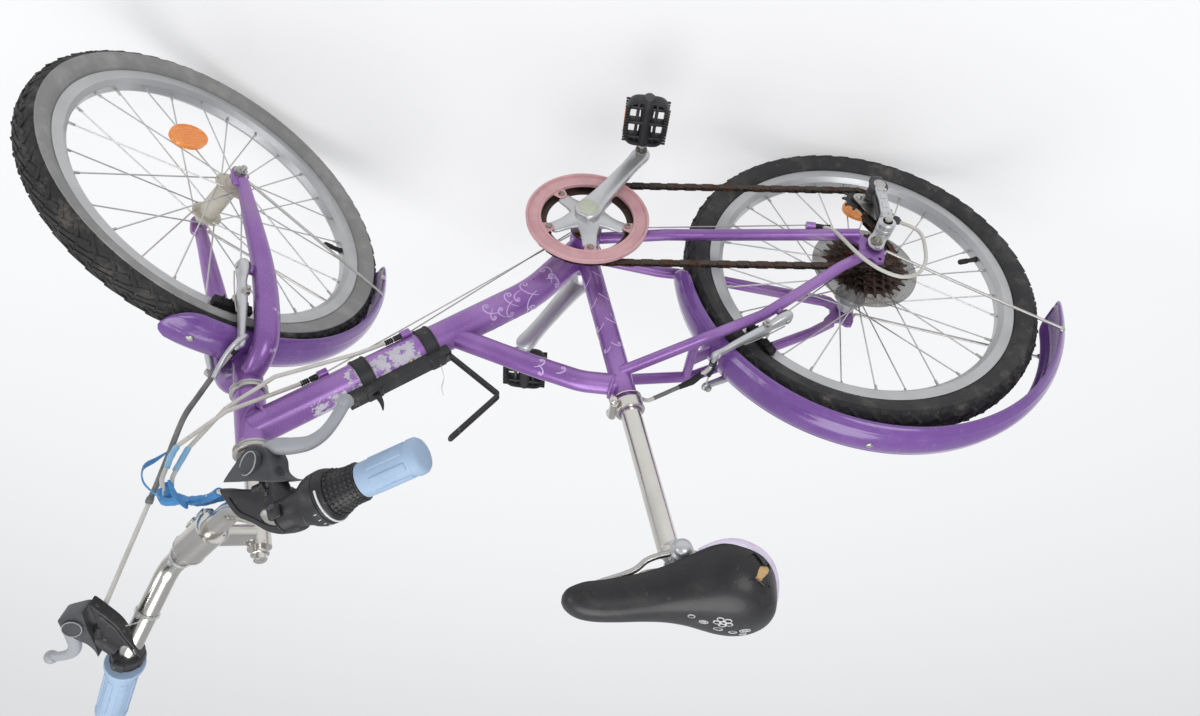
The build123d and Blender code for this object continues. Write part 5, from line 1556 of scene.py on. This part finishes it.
# %% Hanger and bolts
HANGER = Vector((-14, 0, -26))
PIVOT = Vector((-12, 0, -98))
HANGER_PLATE = [
    (2, 13), (10, 6), (10, -6), (2, -18), (-6, -34), (-16, -37), (-24, -30), (-23, -18),
    (-14, -4), (-8, 10),
]


def to_right(spot, out):
    return sideways(spot - LEFT * out, -1)


def side_plate(outline, y, thickness, edge):
    plate(closed_line([(x, y, z) for x, z in outline], 4), LEFT * -thickness, edge)


hex_bolt(to_right(HANGER, 90), 10.5, 4)
lathed(to_right(PIVOT, 90), [(0, 8.6), (1.4, 8.2), (1.8, 6.2), (1.2, 5.4), (1.2, 2)])
for x, z in ((-18, -62), (8, -98)):
    button_bolt(sideways((x, -62.2, z), -1), 4.4, 3.4)
for x, z in ((-21.5, -44), (-20.5, -51)):
    screw = aimed((x, -84, z), (-0.6, -0.8, 0))
    lathed(screw, [(0, 2.2), (4.4, 2.2), (4.8, 1.6)], 12)
    block(screw @ shift((0, 0, 4.8)), (3.4, 0.7, 0.7))
lathed(sideways((0, -74, 10), -1), [(0, 3.8), (2.4, 3.6), (3, 2.2)], 18)
piece("derailleur_bolts", "bright_steel", 35)
print("derailleur hangs", (HANGER - PIVOT).length, "mm above its lower pivot")

# %% Knuckle, links and spring
barrel = aimed((-19, -80, -46), (-17, 0, 9))
lathed(barrel, [(8, 4), (9, 5.4), (16, 5.4), (17, 4.2), (19.2, 3.6)], 22)
knurled(barrel, 14, (5.4, 0, 12.5), (1, 1, 6), 0.25)
knuckle = [(0, 11), (1, 12.6), (9, 13), (10, 12), (17, 12), (18.4, 13.2), (22, 13), (24, 10.8)]
lathed(to_right(PIVOT, 66), knuckle, 32)
block(shift((-12, -82, -109)) @ Matrix.Rotation(math.radians(-6), 4, "Y"), (17, 13, 20), 3.4, 3)
block(shift((-11, -79, -64)), (13, 9, 50), 3, 3)
piece("derailleur_knuckle", "dark_grey")

side_plate(HANGER_PLATE, -71.6, 3, 0.8)
hub = [(0, 10.4), (1, 11.8), (5, 11.8), (6, 10.6), (7, 10.6), (8, 12.2), (14, 12), (16, 9.6)]
lathed(to_right(HANGER, 74), hub, 34)
for y, z_top, z_low, half in ((-74.8, -38, -88, 6), (-88, -36, -90, 7.4)):
    waist = half * 0.72
    middle = (z_top + z_low) / 2
    link = [
        (-14 - half, z_top), (-14, z_top + 4), (-14 + half, z_top), (-12 + waist, middle),
        (-12 + half, z_low), (-12, z_low - 4), (-12 - half, z_low), (-14 - waist, middle),
    ]
    side_plate(link, y, 3.4, 1)
for z in (-40, -86):
    for x in (-17.4, -9):
        lathed(sideways((x, -73, z), -1), [(0, 2.4), (19.6, 2.4), (20.2, 1.8)], 14)
block(shift((-13, -91.6, -56)), (7, 2.2, 12), 0.8)
block(shift((-12.4, -91.6, -72)), (7, 2.2, 8), 0.8)
piece("derailleur_links", "alloy", stands_for="derailleur_body")

COILS, COIL_STEPS = 7, 16
spring = []
for k in range(COILS * COIL_STEPS + 1):
    turn = 2 * math.pi * k / COIL_STEPS
    drop = 14 + 30 * k / (COILS * COIL_STEPS)
    spring.append(HANGER + Vector((3.6 * math.cos(turn), 3.6 * math.sin(turn) - 78, -drop)))
swept(along(spring, 0.8, side=(0.2, 0.1, 1)), 6)
piece("derailleur_spring", "bright_steel", 80)
print("derailleur done")

# %% [markdown]
# ## Rim brakes
# Each V-brake is two arms joined at the top by a cable. The cable comes through a bent metal
# pipe, the noodle, and crosses to the other arm inside a rubber boot with folds. Pads sit on
# threaded studs with dished washers, and a thin spring runs up the back of each arm.

# %% Studs, washers and boots
def on_seat_stay(height, above, y=0):
    return Vector((20, 0, 24)) + polar(height, 35) + polar(above, 125) + LEFT * y


STUD = [(0, 6.2), (1, 6.2), (1.4, 5), (5.4, 4.8), (6, 3.4), (6, 2.4), (10, 2.4)]
WASHER = [(0, 4.2), (0.6, 7.4), (2.4, 7.8), (3.4, 6.6), (4.6, 4.6)]
BOOT = [(0, 2.2), (1, 4.2)]
for k in range(6):
    BOOT += [(2 + 4.6 * k, 4.9 - 0.18 * k), (4.2 + 4.6 * k, 3.5 - 0.12 * k)]
BOOT += [(31, 2.8), (33, 1.8)]
print("boot's stations", len(BOOT))

# %% Arms and pads
for name, point, body, pivot, pad, top, near in (
    ("rear", on_seat_stay, "frame", 142, 172, 248, 18),
    ("front", on_steerer, "steering", FRONT_PIVOT, 204, 272, 21),
):
    up = point(1, 0) - point(0, 0)
    out = point(0, 1) - point(0, 0)
    face = near + 9
    middle = near + 4.5
    for side in (1, -1):
        hex_bolt(aimed(point(pivot, face, 46 * side), out, up), 9.6, 4.2)
        lathed(aimed(point(pad, middle, side * 47), (0, side, 0), up), STUD, 18)
        lathed(aimed(point(pad, middle, side * 28.4), (0, side, 0), up), WASHER, 22)
        wire = [(4, 3.2, 39), (26, 2.2, 35.5), (52, 1.6, 34.6), (66, 1, 35.2)]
        bent([point(pivot + h, face + depth, y * side) for h, depth, y in wire], 0.85, 8)
    hex_bolt(aimed(point(top, face, 33.5), out, up), 8.4, 4)
    button_bolt(aimed(point(top - 2, face, -33.5), out, up), 3.6, 2.6)
    piece(name + "_brake_bolts", "bright_steel", 35, body)
    # Height of a station, its distance from the bicycle's middle, and its radius.
    arm = [
        (pivot - 10, 46, 4.4), (pivot - 7, 46, 8.6), (pivot, 46, 10), (pivot + 9, 45, 9),
        (pivot + 22, 42.6, 7), (pad - 2, 41.4, 7.6), (pad + 14, 40, 7.4), (top - 30, 37.4, 6.2),
        (top - 12, 34.6, 5.4), (top, 33.5, 6), (top + 5, 33.5, 4.4), (top + 6.6, 33.5, 1.8),
    ]
    for side in (1, -1):
        line = [(*point(h, near + 5.2, side * y), r) for h, y, r in sorted(arm)]
        swept(along(smooth_line(line, 4), None, 0.72, LEFT), 22, 0.85)
        block(aimed(point(pad, middle, side * 39.5), out, up), (17, 12, 10), 2.6, 3)
    piece(name + "_arms", "alloy", 40, body, name + "_brake_arms")
    for side in (1, -1):
        collar = aimed(point(pivot, near - 1.4, 46 * side), out, up)
        lathed(collar, [(0, 8.6), (1.2, 9.4), (7, 9.4), (8.2, 8.6)])
    piece(name + "_pivot_collars", "dark_grey", body=body)
    lathed(aimed(point(top, middle, -20), (0, 1, 0), up), BOOT, 22)
    piece(name + "_brake_boot", "pad_rubber", 60, body)
    for side in (1, -1):
        for step in (-16, -6, 4, 14):
            groove = aimed(point(pad, middle + step, side * 20.4), (0, side, 0), up)
            block(groove, (11.6, 1.4, 12.2), 0.3, 1)
    piece(name + "_pad_grooves", "pad_rubber", 40, body)
print("brakes done")

# %% [markdown]
# ## Noodles
# The bent pipes differ, because the rear one comes from ahead and the front one from above. Both
# start in a stepped seat on the right arm. A black sleeve covers the rear one's upper end.

# %% Noodles and the rear sleeve
SEAT = [(0, 4.4), (4, 4.4), (4.6, 3.4), (8, 3.4)]
REAR_NOODLE = [
    (248, 22.5, -27), (248.6, 22.5, -18), (250.4, 22.5, -8.5), (258, 22.9, -3.4), (266, 23.4, -1.6),
]
FRONT_NOODLE = [
    (800, -4, 300), (800.5, -8, 288), (802, -20, 276), (801, -33, 266), (797, -39, 256),
    (794, -38, 249), (793.5, -30, 246.5),
]
lathed(aimed(on_seat_stay(248, 22.5, -31), (0, 1, 0)), SEAT, 18)
bent([on_seat_stay(*spot) for spot in REAR_NOODLE], 3.1, 14)
piece("rear_noodle_seat", "alloy", 40)
sleeve = [on_seat_stay(262, 23.2, -2), on_seat_stay(270, 23.8, -0.4), on_seat_stay(278, 24.5, 2)]
bend = Vector((288, 8, 236))
sleeve += [sleeve[2].lerp(bend, share) for share in (0.1, 0.2, 0.3)]
bent([(*spot, r) for spot, r in zip(sleeve, (3.6, 4.3, 4.4, 4, 3.6, 3))], None, 16)
piece("rear_noodle_sleeve", "pad_rubber", 60)
bent([(*sleeve[2].lerp(bend, share), 2.75) for share in (0.25, 0.6, 0.86)], None, 14)
piece("rear_grey_housing", "grey_housing", 60)
lathed(aimed(on_steerer(272, 25.5, -31), (0, 1, 0)), SEAT, 18)
bent(FRONT_NOODLE, 3.1, 14)
piece("front_noodle_seat", "alloy", 40, "steering")
print("brakes done")

# %% [markdown]
# ## Gear housing at the rear wheel
# The CAD node holds the bare wire and a housing whose loop is a chain of short straight
# pieces. The wire ahead of the cable stop is kept as a merged copy, and the loop behind it is
# swept anew on a smooth curve.

# %% Wire and loop
CABLE_STOP_X = 84
bench.from_mesh(nodes["shift_cable"].data)
bmesh.ops.remove_doubles(bench, verts=bench.verts, dist=MERGE)
behind = [vert for vert in bench.verts if (FRAME.inverted() @ vert.co).x < CABLE_STOP_X]
bmesh.ops.delete(bench, geom=behind, context="VERTS")
print("wire corners kept:", len(bench.verts))
wire = finished(bench, "shift_wire", "bright_steel", "frame", 60)
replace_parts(wire, "shift_cable")
GEAR_STOP = Vector((77.6, -66.8, -25.8))
LOOP = [
    GEAR_STOP, (68, -67, -25.6), (56, -71, -18), (47, -76, 0), (38, -80, 20), (24, -84, 44),
    (4, -87, 64), (-20, -88, 72), (-42, -87.5, 62), (-56, -86.5, 38), (-60, -85.5, 10),
    (-60, -83.5, -14), (-53, -81, -28), (-36.4, -80, -36.8),
]
bent(LOOP, 2.5, 14, 1, 7)
piece("shift_housing", "cream_housing", 60)

# %% [markdown]
# ## Cable ends, sleeves and tape
# Each cream housing ends in a ferrule. Further up, the owner has wrapped the housings with
# blue tape near the bars, which left wrinkled bands and a loose loop, and clear ties hold one
# cable along the bar. A wrap is a tube swept on the same line as the housing, with a radius
# that wanders a little.

# %% Tape and sleeves
rng = random.Random(7)


def wrap(points, radius, wander):
    line = smooth_line(points, 8)
    swept(along([Vector((*spot, radius + wander * rng.uniform(-1, 1))) for spot in line]), 14)


wrap([
    (708, -102, 468), (720, -84, 464.5), (735, -66, 460), (764, -47, 455), (787, -32, 450),
    (797, -26, 436),
], 4.2, 0.45)
wrap([(716, -62, 452.5), (745, -46, 454), (768, -33, 446), (788, -20, 436)], 4, 0.45)
wrap([(783, -30, 446), (790, -24, 440), (796, -16, 424)], 6.2, 0.9)
bent([
    (790, -36, 449, 3.2), (806, -48, 440, 4.6), (812, -50, 424, 5.4), (806, -44, 410, 4.4),
    (800, -40, 398, 2),
], None, 10, 0.16)
bent([
    (752, -58, 462, 2.6), (748, -70, 470, 4.2), (756, -82, 466, 4.6), (766, -84, 452, 2),
], None, 10, 0.2)
piece("blue_wraps", "blue_tape", 60, "cables")
wrap([(801, -25, 408), (800.6, -27, 396), (798, -28.4, 383)], 3.3, 0.25)
wrap([(799.4, -8, 402), (797, -9, 390), (794, -10.6, 374)], 3.3, 0.25)
piece("pale_wraps", "pale_tape", 60, "cables")
SHEATH = [
    (793, 63, 430), (794, 58, 418), (799.4, 41, 388), (806, 20, 350), (804, 8, 322),
    (800, -4, 286),
]
wrap(SHEATH, 3.2, 0.06)
lathed(aimed(SHEATH[0], (-0.2, 0.5, 1)), [(-2, 3.2), (0, 4), (5, 4), (6, 3)], 18)
piece("front_cable_sheath", "grey_housing", 60, "steering")
print("wraps done")

# %% Ferrules and clear ties
# The ribbed rubber behind a ferrule.
RIB = [(0, 2.7), (0.6, 3.5), (2, 3.3), (2.4, 2.7)]
for s, y in ((292.6, -10), (184.6, -17)):
    spot = DOWN_TUBE.middle(s) - DOWN_TUBE.top * math.sqrt(24 * 24 - y * y) + LEFT * y
    place = aimed(spot, DOWN_TUBE.line)
    lathed(place, [(0, 3.6), (9, 3.4), (10, 2.8)], 18)
    for k in range(4):
        lathed(place @ shift((0, 0, 11 + 2.6 * k)), RIB, 18)
lathed(aimed(GEAR_STOP, (-1, 0, 0)), [(0, 3.7), (9, 3.6), (10, 2.8)], 18)
for k in range(4):
    lathed(aimed((67.4 - 2.6 * k, -66.8 - 0.35 * k, -25.8), (-1, -0.1, 0)), RIB, 18)
piece("cable_ferrules", "pad_rubber", 50)

BAR_KNEE = STEM_CLAMP + LEFT * 62
for spot, line in (
    (STEM_CLAMP + LEFT * 38, LEFT), (BAR_KNEE.lerp(BAR_CORNER, 0.55), BAR_CORNER - BAR_KNEE),
):
    place = aimed(spot, line, (0, 0, 1))
    ring = [place @ Vector((x, y, 0)) for x, y in hoop(28, 12.1, 12.1)]
    swept(along(ring, 1, 2, place.to_3x3() @ Vector((1, 0, 0))), 8)
    block(place @ Matrix.Rotation(0.6, 4, "Z") @ shift((14.4, 0, 0)), (4.2, 5.4, 5), 0.8)
    bent([place @ Vector(spot) for spot in ((15, 1, 0), (24, 6, 1), (31, 15, 4))], 1.3, 6, 0.5)
piece("clear_ties", "clear_film", 60, "steering")
print("cables done")

# %% [markdown]
# ## Bottle holder
# A black bracket is strapped on the down tube and holds a bent wire hoop. The straps have
# moulded buckles, one with a toothed tail that stands up, and the bracket has raised edges.

# %% Bottle holder
def over_tube(s, above, y=0):
    return DOWN_TUBE.middle(s) + DOWN_TUBE.top * (DOWN_TUBE.radius + above) + LEFT * y


bed = aimed(over_tube(210, 5.5), DOWN_TUBE.line)
for y in (-7.4, 7.4):
    block(bed @ shift((y, -3.4, 0)), (3, 5.6, 132), 1)
block(bed @ shift((0, -1.5, 0)), (11, 3, 122), 1)
for k in range(11):
    block(bed @ shift((0, -3.2, -52 + 10.4 * k)), (10.5, 1.6, 2), 0.4, 1)
for s in (160, 246):
    for along_strap in (-8, 6):
        strap = aimed(DOWN_TUBE.middle(s + along_strap), DOWN_TUBE.line)
        lathed(strap, [(0, 21.6), (0.4, 22.9), (1.6, 22.9), (2, 21.6)], 48)
    block(aimed(over_tube(s, 12), DOWN_TUBE.line) @ shift((0, -2, 0)), (17, 7, 20), 1.6, 3)
teeth = [(246, 14, -3, 4.4), (247, 22, -7, 3.8), (248, 31, -7, 2.6), (251, 39, -4, 0.8)]
teeth = [(*over_tube(s, above, y), r) for s, above, y, r in teeth]
bent(teeth, None, 10, 0.35, 6, DOWN_TUBE.line)
piece("bottle_bracket", "black_plastic", 40)
button_bolt(aimed(over_tube(146, 9.8), DOWN_TUBE.top), 5.4, 4)
button_bolt(aimed(over_tube(272, 8.8), DOWN_TUBE.top), 4.6, 3.4)
piece("bottle_bolts", "dark_grey", 35)
strap = [(160, 15, 2), (165, 30, 5), (176, 44, 2), (181, 56, -3)]
bent([over_tube(*spot) for spot in strap], 3.2, 10, 0.18, 8)
piece("strap_tail", "clear_film", 60)
print("bottle holder done")

# %% [markdown]
# ## Reflectors
# A spoke reflector is a flat oval box. Its lens is a field of tiny prisms under a smooth rim,
# and a white clip holds it to the spokes from behind.

# %% Reflectors
RIM = [(-6.5, 18), (-5.6, 19.6), (-0.9, 20), (0.5, 19.6), (0.5, 17.8), (-0.2, 17.4), (0, 9)]
for end, radius, angle, near in (("rear", 124, -97, -12.3), ("front", 84, -30, -24.3)):
    across = polar(1, angle + 90)
    place = aimed(polar(radius, angle, near - 6.5), (0, -1, 0), across)
    lathed(place @ Matrix.Diagonal((1.5, 1, 1, 1)), RIM, 56)
    for k in range(13):
        for j in range(8):
            x, y = -26.4 + 4.4 * k + 2.2 * (j % 2), -15 + 4.3 * j
            if (x / 24.6) ** 2 + (y / 15.6) ** 2 < 1:
                lathed(place @ shift((x, y, -0.3)), [(0, 2.3), (0.9, 1.2), (1.3, 0.2)], 6)
    wheel = end + "_wheel"
    piece(end + "_lens", "orange_lens", 30, wheel, end + "_reflector")
    block(aimed(polar(radius, angle, near + 1.4), (0, 1, 0), across), (26, 9, 2.6), 0.9)
    piece(end + "_reflector_clip", "label_white", 40, wheel)
print("reflectors done")

# %% [markdown]
